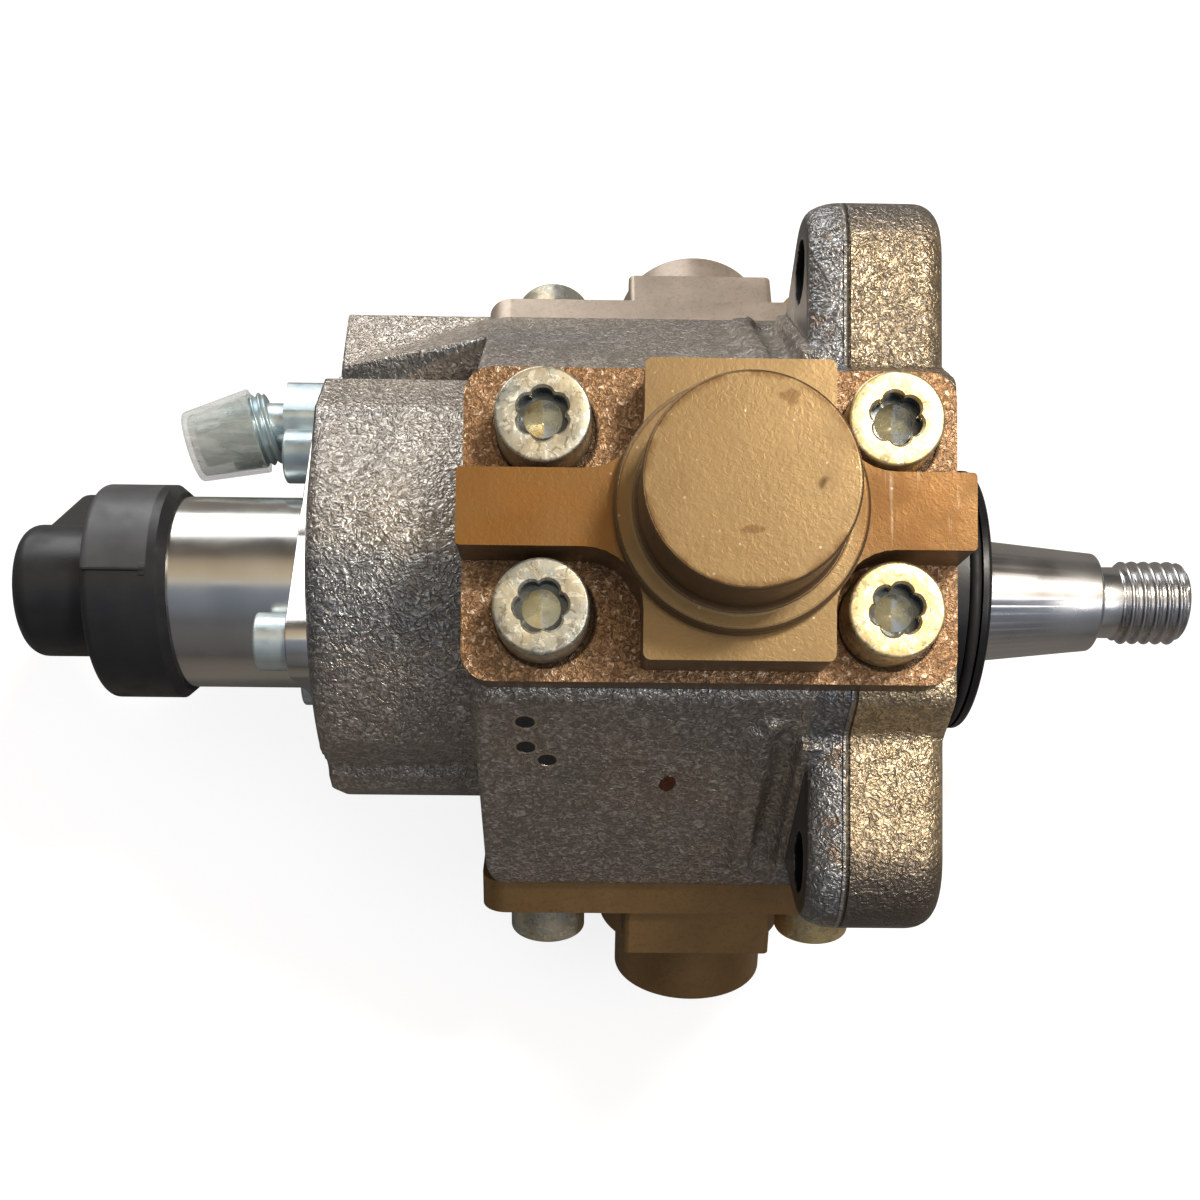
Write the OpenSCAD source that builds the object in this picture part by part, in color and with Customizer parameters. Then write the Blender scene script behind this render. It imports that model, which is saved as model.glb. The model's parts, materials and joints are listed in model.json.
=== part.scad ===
// Three-cylinder radial diesel injection pump.
// +X runs along the drive shaft towards its threaded end, and the origin is on the
// shaft axis in the plane of the mounting face. Cylinder head a points along +Z,
// b and c follow every third of a turn from +Z towards +Y. All sizes are in mm.

/* [Housing] */
// Distance from the mounting face to the rear face
housing_len = 95; // [92:1:102]
// Radius of the round rear drum
drum_r = 34; // [33:0.5:36]
// Rounding of the cast rear edge
cast_round = 3; // [1:0.5:4]
// Distance from the shaft axis to each cylinder head's seat
pad_r = 43.4; // [43:0.2:45]
// Width of each cylinder head's seat
pad_w = 46; // [45:0.5:48]
// Distance from the mounting face to the step behind the heads
block_len = 69.2; // [68:0.4:72]
// Drop of the upper ridge below the seat of head b
ridge_drop = 0.6; // [0.4:0.1:2]
// Depth of the low ledge under the shaft axis
ledge_h = 39.5; // [38:0.5:42]

/* [Mounting flange] */
// Thickness of the flange rim
rim_t = 15.2; // [13:0.4:17]
// Distance from the mounting face to the bolt spot faces
ear_t = 20.5; // [18:0.5:23]
// Radius from the shaft axis to the mounting holes
ear_hole_r = 52.5; // [51:0.5:54]
// Rounding radius of each ear
ear_r = 10; // [9:0.5:11]
// Rounding of the front edge of the rim
rim_round = 4; // [2:0.5:5]
// Inset of the spot faces from the ears' outline
ear_inset = 2.8; // [2:0.2:3.4]
// Height of the cast lobes beside the spot faces
lobe_h = 2.2; // [1:0.2:2.4]
// Diameter of the mounting holes
mount_hole_d = 9; // [8:0.5:10]
// Diameter of the bolt spot faces
spot_d = 17; // [16:0.5:18]
// Diameter of the locating spigot
spigot_d = 43.2; // [42:0.2:45]
// Length of the locating spigot
spigot_len = 10.7; // [9.8:0.1:12]
// Diameter of the front bearing flange inside the housing
front_plate_d = 57; // [56:0.5:58]
// Depth of the front bearing flange inside the housing
front_plate_t = 18; // [17:0.5:18.5]

/* [Cylinder heads] */
// Distance from the mounting face to the middle of the head plate
head_back = 36.1; // [36:0.1:37]
// Length of the head plate along the shaft
head_l = 68.2; // [66:0.2:69]
// Width of the head plate
head_w = 43.6; // [43:0.2:45]
// Thickness of the head plate
head_plate_t = 6; // [5:0.2:7]
// Height of the raised cross above the seat
cross_h = 15; // [13:0.5:16]
// Length of the cross block along the shaft
cross_l = 25.4; // [24:0.2:26]
// Width of the cross block
cross_w = 40.2; // [39:0.2:42]
// Width of the cross arms
arm_w = 10.4; // [10:0.1:10.8]
// Radius of the fillets between the arms and the block
cross_fillet = 8; // [6:0.5:8.5]
// Distance from the mounting face to the axis of the bosses and plungers
boss_back = 32.9; // [32.7:0.1:33.4]
// Diameter of the round boss
boss_d = 27.4; // [26:0.2:29]
// Height of the boss face above the seat
boss_h = 29.1; // [27:0.5:31]
// Diameter of the collar under the boss
collar_d = 33.7; // [33:0.1:35]
// Height of the collar above the seat
collar_h = 17.6; // [16.5:0.2:19]
// Diameter of the skirt that enters the housing
skirt_d = 31.8; // [31.2:0.2:32.4]
// Length of the skirt below the seat
skirt_len = 9.4; // [8:0.2:10]

/* [Head bolts] */
// Spacing of the head bolts along the shaft
bolt_l = 47.2; // [46:0.2:48]
// Spacing of the head bolts across the head
bolt_w = 25.7; // [25.4:0.1:26.2]
// Thread diameter of the head bolts
bolt_d = 8; // [7:0.5:8]
// Diameter of the bolt heads
bolt_head_d = 13; // [12:0.2:13.2]
// Height of the bolt heads
bolt_head_h = 8; // [7:0.2:8.6]
// Length of the bolt shanks
bolt_len = 16; // [14:0.5:17]

/* [Drive] */
// Throw of the eccentric, half the plunger stroke
throw = 2.6; // [2:0.1:2.6]
// Diameter of the eccentric
ecc_d = 30; // [29:0.5:31]
// Distance from the middle of the polygon ring to its flats
ring_flat = 19; // [18.6:0.1:19]
// Width of the polygon ring along the shaft
ring_w = 20; // [18:0.5:20]
// Diameter of the front journal
front_journal_d = 24; // [23:0.5:25]
// Diameter of the rear journal
rear_journal_d = 20; // [18:0.5:21]
// Diameter of the shaft under the lip seal
seal_land_d = 22; // [21:0.2:22.4]
// Large diameter of the drive taper
taper_d = 21; // [20:0.2:21]
// Length of the drive taper
taper_len = 22.9; // [20:0.1:26]
// Diameter lost for each millimetre of taper
taper_rate = 0.2; // [0.1:0.01:0.22]
// Length of the relief neck behind the thread
neck_len = 3.1; // [2:0.1:5]
// Diameter of the relief neck
neck_d = 12; // [10:0.2:12.4]
// Thread diameter of the drive end
thread_d = 14; // [13:0.5:16]
// Length of the drive thread
thread_len = 11.6; // [9:0.2:16]

/* [Pump elements] */
// Diameter of the plungers
plunger_d = 7.5; // [6.5:0.1:8]
// Outer diameter of the barrels
barrel_d = 15.9; // [15:0.1:16.4]
// Diameter of the plunger foot plates
foot_d = 25; // [24:0.2:25.4]
// Thickness of the plunger foot plates
foot_t = 2.5; // [2:0.1:3]
// Wire diameter of the plunger springs
spring_wire = 2.2; // [1.8:0.1:2.4]
// Mean diameter of the plunger springs
spring_mean_d = 21.2; // [20:0.2:21.4]
// Turns of the plunger springs
spring_turns = 5.5; // [4.5:0.5:6.5]
// Lift of the inlet valves
inlet_lift = 0.8; // [0.5:0.1:1.2]
// Diameter of the outlet valve balls
outlet_ball_d = 4; // [3.5:0.1:4.2]
// Lift of the outlet valve balls
outlet_lift = 0.7; // [0.4:0.1:1]

/* [Metering unit] */
// Thickness of the three-lug flange
lug_t = 3.8; // [3:0.2:5]
// Radius from the shaft axis to the flange screws
lug_screw_r = 23.5; // [23.2:0.1:24.5]
// Diameter of the turned steel body
can_d = 31.7; // [30:0.1:32.4]
// Length of the steel body behind the lug flange
can_len = 22.2; // [21:0.2:25]
// Diameter of the plastic collar
cover_d = 35.4; // [34.6:0.2:37]
// Length of the plastic collar
cover_len = 12.2; // [10:0.2:15]
// Diameter of the plastic end cap
cap_d = 21.9; // [20:0.1:24]
// Length of the plastic end cap
cap_len = 13.5; // [13.5:0.1:16]
// Angle of the connector socket from +Z towards +Y
socket_angle = 150; // [140:5:180]
// Distance from the shaft axis to the mouth of the socket
socket_reach = 28; // [26:0.5:32]
// Diameter of the metering piston
piston_d = 10; // [8:0.2:11]
// Stroke of the metering piston
piston_stroke = 3; // [2:0.1:3.4]
// Diameter of the metering valve sleeve
sleeve_d = 17.9; // [16:0.1:18.4]

/* [Fuel connections] */
// Height of the inlet fitting above the shaft axis
inlet_y = 32.2; // [31.6:0.2:34]
// Depth of the inlet fitting behind the shaft axis
inlet_z = 12; // [10:0.5:14]
// Width across the flats of the inlet fitting
inlet_af = 14.2; // [13:0.1:15]
// Bend of the inlet stub towards the drum
inlet_bend = 15; // [0:1:20]
// Diameter of the threaded inlet stub
inlet_stub_d = 12.7; // [12:0.1:12.8]
// Length of the protective cap along the stub
inlet_cap_len = 12.3; // [11:0.1:15]
// Distance from the mounting face to the high-pressure outlet
outlet_back = 56.5; // [56:0.5:58]
// Width across the flats of the high-pressure outlet
outlet_af = 17; // [16:0.5:19]
// Diameter of the overflow valve piston
overflow_d = 8; // [7:0.2:8.6]
// Stroke of the overflow valve piston
overflow_stroke = 3; // [2:0.1:4]

/* [Hidden] */
$fn = 64;

// Fits between pieces, as a gap on the radius or between faces
press_gap = 0.02;
running_gap = 0.03;
slip_gap = 0.1;
clear_gap = 0.3;
// Overrun of a cut past the face that it opens
cut = 1;
// Thickness of the slices that a rounded form is drawn over
slice = 0.05;
head_step = 120;
corner_steps = 8;
edge_steps = 5;

// Stations along the shaft
rear_x = -housing_len;
block_x = -block_len;
boss_x = -boss_back;
head_x = -head_back;
ring_x0 = boss_x - ring_w / 2;
ecc_side = 1;
cavity_x0 = ring_x0 - 3.1;
cavity_x1 = -front_plate_t;
bush_flange_t = 1.5;
front_collar_x = cavity_x1 - bush_flange_t - slip_gap;
rear_collar_x = cavity_x0 + bush_flange_t + slip_gap;
rear_bush_len = 20;
rear_journal_x = cavity_x0 - rear_bush_len - cut;
bush_wall = 2.38;
ring_bush_wall = 1.97;
bush_flange_w = 5;
web_x0 = ring_x0 - ecc_side + slip_gap;
web_x1 = ring_x0 + ring_w + ecc_side - slip_gap;
web_r = 8;
land_x = cut;
seal_r = 15.5;
lip_h = 1.6;
lip_w = 2;
seal_x1 = spigot_len - 2.4;
pilot_x = spigot_len - 2.6;
pilot_groove = 1.7;
pilot_wire_r = 0.95;
taper_x1 = spigot_len + taper_len;
thread_x0 = taper_x1 + neck_len;
shaft_end = thread_x0 + thread_len;

// Cast lobe and rib on the side of the block beside each ear
lobe_len = 34;
lobe_root = 3;
lobe_round = 1.9;
rib_x = -ear_t - 5.5;
rib_len = 42;
rib_r = 1.3;

// Punch marks beside the front head
punch_r = 1;
punch_depth = 3;
punch_step = [1.9, -3.6, -6.2];
punch_place = [block_x + 4.2, -pad_w / 2 - 6.6, pad_r - 11.4];

// Radii around the shaft
ring_corner_r = ring_flat + 3.5;
cavity_r = ring_corner_r + throw + 1.3;
sweep_r = ring_flat + throw;
side_r = pad_r * cos(head_step / 2) + pad_w / 2 * sin(head_step / 2);
stroke = 2 * throw;
front_plate_r = front_plate_d / 2;
bore_r = skirt_d / 2 + slip_gap;

// Heights in a head, measured from the shaft axis
plate_top = pad_r + head_plate_t;
bolt_seat = plate_top - 0.4;
cross_top = pad_r + cross_h;
collar_top = pad_r + collar_h;
boss_top = pad_r + boss_h;
foot_z = sweep_r + clear_gap;
foot_top = foot_z + foot_t;
hub_h = 1.4;
barrel_z0 = foot_top + hub_h + stroke + 0.8;
spring_seat = pad_r + 2.6;
spring_room_r = 12.6;
valve_seat = pad_r + 12.6;
valve_room_r = 6;
valve_disc_r = 5.2;
valve_disc_t = 1.6;
valve_stem_r = 1.6;
valve_stem_h = 7.4;
valve_room_top = valve_seat + running_gap + valve_disc_t + valve_stem_h + inlet_lift + slip_gap;
valve_wire_r = 0.4;
plunger_top = valve_seat - stroke - 0.8;
seal_groove = 1.3;
seal_groove_z = pad_r - 4.25;
seal_wire_r = 0.66;
outlet_dx = -22.5;
outlet_room_r = outlet_ball_d / 2 + clear_gap;
outlet_port_r = 1.2;
outlet_spring_h = 3.8;
outlet_wire_r = 0.35;
outlet_seat = pad_r + outlet_spring_h + outlet_lift + outlet_ball_d;
ball_r = outlet_ball_d / 2;
ball_z = outlet_seat - sqrt(ball_r * ball_r - outlet_port_r * outlet_port_r) - running_gap;

// Metering unit stations, counted from the rear face towards the plastic end
lug_x = rear_x - lug_t;
can_x = lug_x - can_len;
cover_x = can_x - cover_len;
cap_x = cover_x - cap_len;
sleeve_lead = 2.4;
sleeve_gap = 4;
sleeve_x0 = rear_x - sleeve_lead;
sleeve_x1 = rear_journal_x - sleeve_gap;
sleeve_wall = 1.5;
piston_lead = 2;
piston_x = rear_x + piston_lead;
piston_spring_h = 4.5;
piston_wire_r = 0.5;
piston_len = sleeve_x1 - sleeve_wall - piston_x - piston_spring_h - piston_stroke;
rod_r = 2;
rod_lead = 4;
armature_r = 6;
armature_len = 11;
coil_bore_r = armature_r + 1;
can_wall = 3.6;
coil_r = can_d / 2 - can_wall - slip_gap;
lug_angles = [-30, 90, 210];
lug_r = 5.8;
screw_d = 5;
screw_head_r = 4.5;
screw_head_h = 5.2;
screw_len = 12;
screw_hole_gap = 0.25;

// Connector socket, with its height across the shaft and the two flat terminals
socket_h = 18;
socket_wall = 1.7;
socket_depth = 13;
socket_floor = socket_reach - socket_depth;
latch_w = 3;
latch_t = 1.8;
pin_w = 2.7;
pin_t = 0.8;
pin_len = 9.5;
pin_root = 4;
pin_pitch = 5.5;

// Inlet fitting stations
washer_t = 2;
hex_len = 8.6;
inlet_neck_len = 3.3;
inlet_hex_x = rear_x - washer_t - hex_len;
inlet_stub_x = inlet_hex_x - inlet_neck_len;
inlet_port_r = 6;
cap_mouth_r = 7.4;
cap_tip_r = 6.1;
cap_wall = 0.8;
cap_mouth = -2.4;
inlet_bore_r = 2.4;
inlet_neck_r = 4.2;
inlet_root_r = 4;
inlet_spigot_len = 11;
stub_thread_len = 4;

// Sealing ball beside the inlet, and the drilling that it closes
sealing_ball_r = 1.25;
sealing_ball_y = inlet_y + 4;
sealing_hole_len = 8;

// High-pressure outlet, measured down from the underside of the block
outlet_thread_r = 7;
outlet_cone_r = 4.6;
outlet_bore_r = 1.3;
outlet_len = 22;
outlet_hex_h = 7;
outlet_rim_h = 1.8;

// Overflow valve, measured down from the shaft axis
overflow_wall = 4;
overflow_end_gap = 0.5;
overflow_piston_len = 6;
overflow_top = -sleeve_d / 2 - overflow_wall;
overflow_piston_z1 = overflow_top - overflow_end_gap;
overflow_piston_z0 = overflow_piston_z1 - overflow_piston_len;
overflow_spring_h = 8.5;
overflow_plug_z = overflow_piston_z0 - overflow_spring_h - overflow_stroke;
plug_hex_r = 7;
plug_hex_h = 5;
plug_rim_r = 7.6;
overflow_x = (rear_x + block_x) / 2;

// Sections and points

// Local z of the children runs along world +X, local x along +Y and local y along +Z
module along_x(x = 0) {
    translate([x, 0, 0]) rotate([90, 0, 90]) children();
}

// Cylinder along +X between two stations
module rod_x(x0, x1, r) {
    along_x(x0) cylinder(r = r, h = x1 - x0);
}

// Frame of cylinder head k: local z points out along its axis
module at_head(k) {
    rotate([-k * head_step, 0, 0]) children();
}

// Cylinder along a head's axis
module rod_z(x, y, z0, z1, r) {
    translate([x, y, z0]) cylinder(r = r, h = z1 - z0);
}

// Turned piece along +X, from points of [station, radius, corner radius]
module turned_x(points) {
    rotate([0, 90, 0]) rotate_extrude() polygon([for (p = rounded(points)) [p[1], p[0]]]);
}

// Turned piece along +Z, from points of [radius, height, corner radius]
module turned_z(points) {
    rotate_extrude() polygon(rounded(points));
}

function xy(p) = [p[0], p[1]];
function unit(v) = v / norm(v);
function polar(r, a) = [r * sin(a), r * cos(a)];
function turn_of(d) = d > 180 ? d - 360 : d < -180 ? d + 360 : d;

// Points of one corner, rounded with radius r
function corner(p, before, after, r) =
    let (u = unit(before - p), w = unit(after - p), half = acos(u * w) / 2)
    let (c = p + unit(u + w) * r / sin(half), s = p + u * r / tan(half), e = p + w * r / tan(half))
    let (a0 = atan2(s[1] - c[1], s[0] - c[0]), a1 = atan2(e[1] - c[1], e[0] - c[0]))
    [for (i = [0:corner_steps]) let (a = a0 + turn_of(a1 - a0) * i / corner_steps) c + r * [cos(a), sin(a)]];

// Outline from points of [x, y, corner radius]
function rounded(points) =
    let (n = len(points))
    [for (i = [0:n - 1])
        let (p = points[i], before = points[(i + n - 1) % n], after = points[(i + 1) % n])
        each (len(p) < 3 || p[2] == 0 ? [xy(p)] : corner(xy(p), xy(before), xy(after), p[2]))];

// Point on head k's plane, w across and r out, in the section plane of Y and Z
function on_head(k, w, r) =
    let (a = k * head_step)
    [r * sin(a) + w * cos(a), r * cos(a) - w * sin(a)];

function bolt_places() = [for (i = [-1, 1], j = [-1, 1]) [head_x + 0.6 + i * bolt_l / 2, j * bolt_w / 2]];

// Helix of round wire along +Z, as a closed tube
module coil_spring(mean_r, wire_r, z0, z1, turns, sides = 6, steps = 14) {
    n = ceil(turns * steps);
    rise = z1 - z0 - 2 * wire_r;
    ring = [for (i = [0:n], j = [0:sides - 1])
        let (a = 360 * turns * i / n, b = 360 * j / sides)
        let (r = mean_r + wire_r * cos(b))
        [r * cos(a), r * sin(a), z0 + wire_r + rise * i / n + wire_r * sin(b)]];
    walls = [for (i = [0:n - 1], j = [0:sides - 1])
        let (k = (j + 1) % sides)
        [i * sides + j, (i + 1) * sides + j, (i + 1) * sides + k, i * sides + k]];
    start = [for (j = [0:sides - 1]) j];
    end = [for (j = [sides - 1:-1:0]) n * sides + j];
    polyhedron(points = ring, faces = concat(walls, [start], [end]), convexity = 10);
}

// Six-lobed drive recess, cut down from z = 0
module lobed_recess(r, depth) {
    lobe_r = r * 0.24;
    translate([0, 0, -depth]) {
        cylinder(r = r * 0.72, h = depth + cut);
        for (i = [0:5]) rotate(i * 60) translate([r - lobe_r, 0, 0]) cylinder(r = lobe_r, h = depth + cut);
    }
    translate([0, 0, -depth - r * 0.4]) cylinder(r1 = 0.3, r2 = r * 0.72, h = r * 0.4);
}

// Housing

// Outline of the three cylinder head seats, seen along the shaft
function block_section() =
    [for (k = [0:2], side = [-1, 1]) let (p = on_head(k, side * pad_w / 2, pad_r)) [p[0], p[1], 3]];

// Triangle of the flange with its rounded ears, drawn in by an offset
function ear_section(inset) =
    [for (k = [0:2]) let (p = polar(ear_hole_r + 2 * (ear_r - inset), 60 + k * head_step))
        [p[0], p[1], ear_r - inset]];

// Slices of the flange as [front, thickness, inset], from the mounting face to the spot faces
function flange_slices() = concat(
    [for (i = [0:edge_steps - 1]) let (a = 90 * i / edge_steps)
        [-rim_round * (1 - cos(a)), slice, rim_round * (1 - sin(a))]],
    [[-rim_round, rim_t - rim_round, 0]],
    [for (i = [1:edge_steps]) let (a = 90 * i / edge_steps)
        [slice - rim_t - (ear_t - rim_t) * sin(a), slice, ear_inset * (1 - cos(a))]]);

// Upper ridge: a flat side from the drum's crest up to just below the seat of head b
function ridge_section() =
    let (crest = polar(drum_r + 0.8, 43.6), outer = on_head(1, -pad_w / 2 + 2, pad_r - ridge_drop))
    let (back = on_head(1, pad_w / 8, pad_r - ridge_drop))
    [[8, drum_r - 4, 0], [crest[0], crest[1], 3], [outer[0], outer[1], 4], [back[0], back[1], 4],
        [drum_r * 0.5, -drum_r * 0.86, 0], [0, 0, 0]];
function ridge_top() = on_head(1, -pad_w / 2 + 2, pad_r - ridge_drop)[0];

// Lower ledge: a step along the bottom of the drum
function ledge_section() =
    [[-drum_r * 0.8, drum_r * 0.47, 0], [-drum_r, drum_r * 0.26, 2], [-ledge_h, 0, 3], [-ledge_h + 1, -16, 6],
        [-drum_r * 0.7, -drum_r * 0.76, 3], [-10, 0, 0]];

module cast_body() {
    // Round rear drum
    turned_x([[rear_x, 0, 0], [rear_x, drum_r, cast_round], [-rim_t, drum_r, 0], [-rim_t, 0, 0]]);
    // Ridge above and ledge below, trimmed to their outline in plan
    intersection() {
        union() {
            along_x(rear_x) linear_extrude(housing_len - ear_t)
                polygon(rounded(ridge_section()));
            along_x(rear_x) linear_extrude(housing_len - ear_t)
                polygon(rounded(ledge_section()));
        }
        translate([0, 0, -housing_len]) linear_extrude(2 * housing_len)
            polygon(rounded([[rear_x, -ledge_h - cut, cast_round], [0, -ledge_h - cut, 0],
                [0, pad_r + pad_w / 8, 0], [rear_x, ridge_top(), cast_round + 1]]));
    }
    // Block that carries the three heads
    intersection() {
        along_x(block_x) linear_extrude(block_len - 0.4) polygon(rounded(block_section()));
        turned_x([[block_x, 0, 0], [block_x, pad_r + pad_w / 8, 4], [0, pad_r + pad_w / 8, 0], [0, 0, 0]]);
    }
    // Flange, rounded at the front and drafted round to the spot faces at the back
    hull() for (s = flange_slices())
        along_x(s[0] - s[1]) linear_extrude(s[1]) polygon(rounded(ear_section(s[2])));
    // Lobe and rib on the side of the block beside each ear
    at_ears() {
        translate([0, 0, side_r - lobe_root]) linear_extrude(lobe_root + lobe_h)
            polygon(rounded([[-ear_t - 3.8, -lobe_len / 2, lobe_round], [-ear_t + 2, -lobe_len / 2, 0],
                [-ear_t + 2, lobe_len / 2, 0], [-ear_t - 3.8, lobe_len / 2, lobe_round]]));
        translate([rib_x, 0, side_r]) rotate([90, 0, 0]) cylinder(r = rib_r, h = rib_len, center = true);
    }
}

// Frame of each ear: local z points out through its mounting hole
module at_ears() {
    for (k = [0:2]) rotate([-(k + 0.5) * head_step, 0, 0]) children();
}

module pump_housing() {
    color([0.46, 0.44, 0.41]) difference() {
        cast_body();
        // Front bore, crank room, rear journal and metering sleeve bores, on the shaft axis
        rod_x(cavity_x1, cut, front_plate_r + press_gap);
        rod_x(cavity_x0, cavity_x1 + cut, cavity_r);
        rod_x(rear_journal_x - cut, cavity_x0 + cut, rear_journal_d / 2 + bush_wall + 2 * press_gap);
        rod_x(rear_x - cut, sleeve_x1 + cut, sleeve_d / 2 + press_gap);
        // Mounting holes and the spot faces for their bolt heads
        at_ears() translate([0, 0, ear_hole_r]) {
            rod_x(-ear_t - cut, cut, mount_hole_d / 2);
            rod_x(rib_x - spot_d, -ear_t, spot_d / 2);
        }
        // Head bores, head bolt holes
        for (k = [0:2]) at_head(k) {
            rod_z(boss_x, 0, cavity_r / 2, pad_r + cut, bore_r);
            for (p = bolt_places())
                rod_z(p[0], p[1], bolt_seat - bolt_len - 0.9, pad_r + cut, bolt_d / 2 + press_gap);
        }
        // Metering unit screw holes
        at_lugs() rod_x(rear_x - cut, rear_x + screw_len, screw_d / 2 + press_gap);
        // Inlet port, with its drilling to the metering sleeve
        translate([0, inlet_y, -inlet_z])
            rod_x(rear_x - cut, rear_x + inlet_spigot_len + 2, inlet_port_r + press_gap);
        // Drilling closed by the sealing ball
        translate([0, sealing_ball_y, 0])
            rod_x(rear_x - cut, rear_x + sealing_hole_len, sealing_ball_r + press_gap);
        // Overflow valve bore
        rod_z(overflow_x, 0, -drum_r - cut, overflow_top, overflow_d / 2 + running_gap);
        // High-pressure outlet bore
        rod_z(-outlet_back, 0, -pad_r - cut, -outlet_depth(), outlet_thread_r + press_gap);
        // Three small punch marks beside the front head
        for (i = [0:2]) translate(punch_place + i * punch_step) rotate([head_step / 2, 0, 0])
            cylinder(r = punch_r, h = punch_depth, center = true);
    }
}

function underside() = on_head(1, pad_w / 2, pad_r)[1];
function outlet_depth() = -underside() - 10.5;

module bearing_flange() {
    color([0.09, 0.09, 0.1]) difference() {
        turned_x([[cavity_x1, 0, 0], [cavity_x1, front_plate_r, 0], [0, front_plate_r, 0],
            [0, spigot_d / 2, 0], [spigot_len, spigot_d / 2, 0.8], [spigot_len, 0, 0]]);
        rod_x(cavity_x1 - cut, land_x, front_journal_d / 2 + bush_wall + 2 * press_gap);
        rod_x(land_x - 0.5, seal_x1 + 0.2, seal_r + press_gap);
        rod_x(0, spigot_len + cut, seal_land_d / 2 + 0.5);
        difference() {
            rod_x(pilot_x - 1.1, pilot_x + 1.1, spigot_d / 2 + cut);
            rod_x(pilot_x - 2, pilot_x + 2, spigot_d / 2 - pilot_groove);
        }
    }
}

module pilot_o_ring() {
    color([0.05, 0.05, 0.05]) along_x(pilot_x) rotate_extrude()
        translate([spigot_d / 2 - pilot_groove + pilot_wire_r, 0]) circle(r = pilot_wire_r, $fn = 24);
}

// Plain bearing bush with a thrust flange at its end x0
module flanged_bush(x0, x1, journal_r, flange_r) {
    low = min(x0, x1);
    high = max(x0, x1);
    flange_x = x0 < x1 ? x0 - bush_flange_t : x0;
    difference() {
        union() {
            rod_x(low, high, journal_r + running_gap + bush_wall - press_gap);
            rod_x(flange_x, flange_x + bush_flange_t, flange_r);
        }
        rod_x(low - 2 * cut - bush_flange_t, high + 2 * cut + bush_flange_t, journal_r + running_gap);
    }
}

module front_bearing_bush() {
    color([0.72, 0.5, 0.26]) flanged_bush(cavity_x1, land_x - 0.5, front_journal_d / 2,
        front_journal_d / 2 + bush_flange_w);
}

module rear_bearing_bush() {
    color([0.72, 0.5, 0.26]) flanged_bush(cavity_x0, cavity_x0 - rear_bush_len, rear_journal_d / 2,
        rear_journal_d / 2 + bush_flange_w + 1);
}

module shaft_seal() {
    lip = seal_land_d / 2 + 0.05;
    color([0.07, 0.07, 0.08]) turned_x([[land_x, lip + lip_h, 0], [land_x, seal_r, 0],
        [seal_x1, seal_r, 0], [seal_x1, lip + lip_h / 2, 0], [land_x + 2 * lip_w, lip, 0],
        [land_x + 1.3 * lip_w, lip, 0], [land_x + lip_w, lip + lip_h, 0]]);
}

// Drive

module drive_shaft() {
    taper_end_r = (taper_d - taper_len * taper_rate) / 2;
    color([0.74, 0.75, 0.77]) {
        turned_x([[rear_journal_x, 0, 0], [rear_journal_x, rear_journal_d / 2 - 1, 0],
            [rear_journal_x + 1, rear_journal_d / 2, 0], [rear_collar_x, rear_journal_d / 2, 0],
            [rear_collar_x, rear_journal_d / 2 + 3, 0], [web_x0, rear_journal_d / 2 + 3, 0],
            [web_x0, web_r, 0], [web_x1, web_r, 0], [web_x1, front_journal_d / 2 + 2, 0],
            [front_collar_x, front_journal_d / 2 + 2, 0], [front_collar_x, front_journal_d / 2, 0],
            [land_x - 0.5, front_journal_d / 2, 0], [land_x, seal_land_d / 2, 0],
            [spigot_len - 0.5, seal_land_d / 2, 0], [spigot_len, taper_d / 2, 0],
            [taper_x1 - 0.8, taper_end_r, 0.6], [taper_x1, neck_d / 2 + 0.6, 0.4], [taper_x1, neck_d / 2, 0],
            [thread_x0, neck_d / 2, 0], [thread_x0 + 0.8, thread_d / 2, 0], [shaft_end - 1, thread_d / 2, 0],
            [shaft_end, thread_d / 2 - 1, 0], [shaft_end, 0, 0]]);
        translate([0, 0, throw]) rod_x(ring_x0 - ecc_side, ring_x0 + ring_w + ecc_side, ecc_d / 2);
    }
}

module polygon_ring() {
    vertex = 2 * ring_flat;
    color([0.5, 0.5, 0.52]) translate([0, 0, throw]) difference() {
        along_x(ring_x0) linear_extrude(ring_w) intersection() {
            circle(r = ring_corner_r);
            polygon([for (k = [0:2]) polar(vertex, 60 + k * head_step)]);
        }
        rod_x(ring_x0 - cut, ring_x0 + ring_w + cut, ecc_d / 2 + running_gap + ring_bush_wall + press_gap);
    }
}

module ring_bush() {
    color([0.72, 0.5, 0.26]) translate([0, 0, throw]) difference() {
        rod_x(ring_x0, ring_x0 + ring_w, ecc_d / 2 + running_gap + ring_bush_wall);
        rod_x(ring_x0 - cut, ring_x0 + ring_w + cut, ecc_d / 2 + running_gap);
    }
}

// Cylinder heads

// Raised cross, with fillets that sweep round the bolt heads
module head_cross() {
    x0 = head_x - head_l / 2 - 0.2;
    x1 = head_x + head_l / 2 + 0.4;
    bx0 = boss_x - cross_l / 2;
    bx1 = boss_x + cross_l / 2;
    a = arm_w / 2;
    w = cross_w / 2;
    f = cross_fillet;
    linear_extrude(cross_h)
        polygon(rounded([[x0, -a, 0.6], [bx0, -a, f], [bx0, -w, 1], [bx1, -w, 1], [bx1, -a, f], [x1, -a, 0.6],
            [x1, a, 0.6], [bx1, a, f], [bx1, w, 1], [bx0, w, 1], [bx0, a, f], [x0, a, 0.6]]));
}

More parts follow.
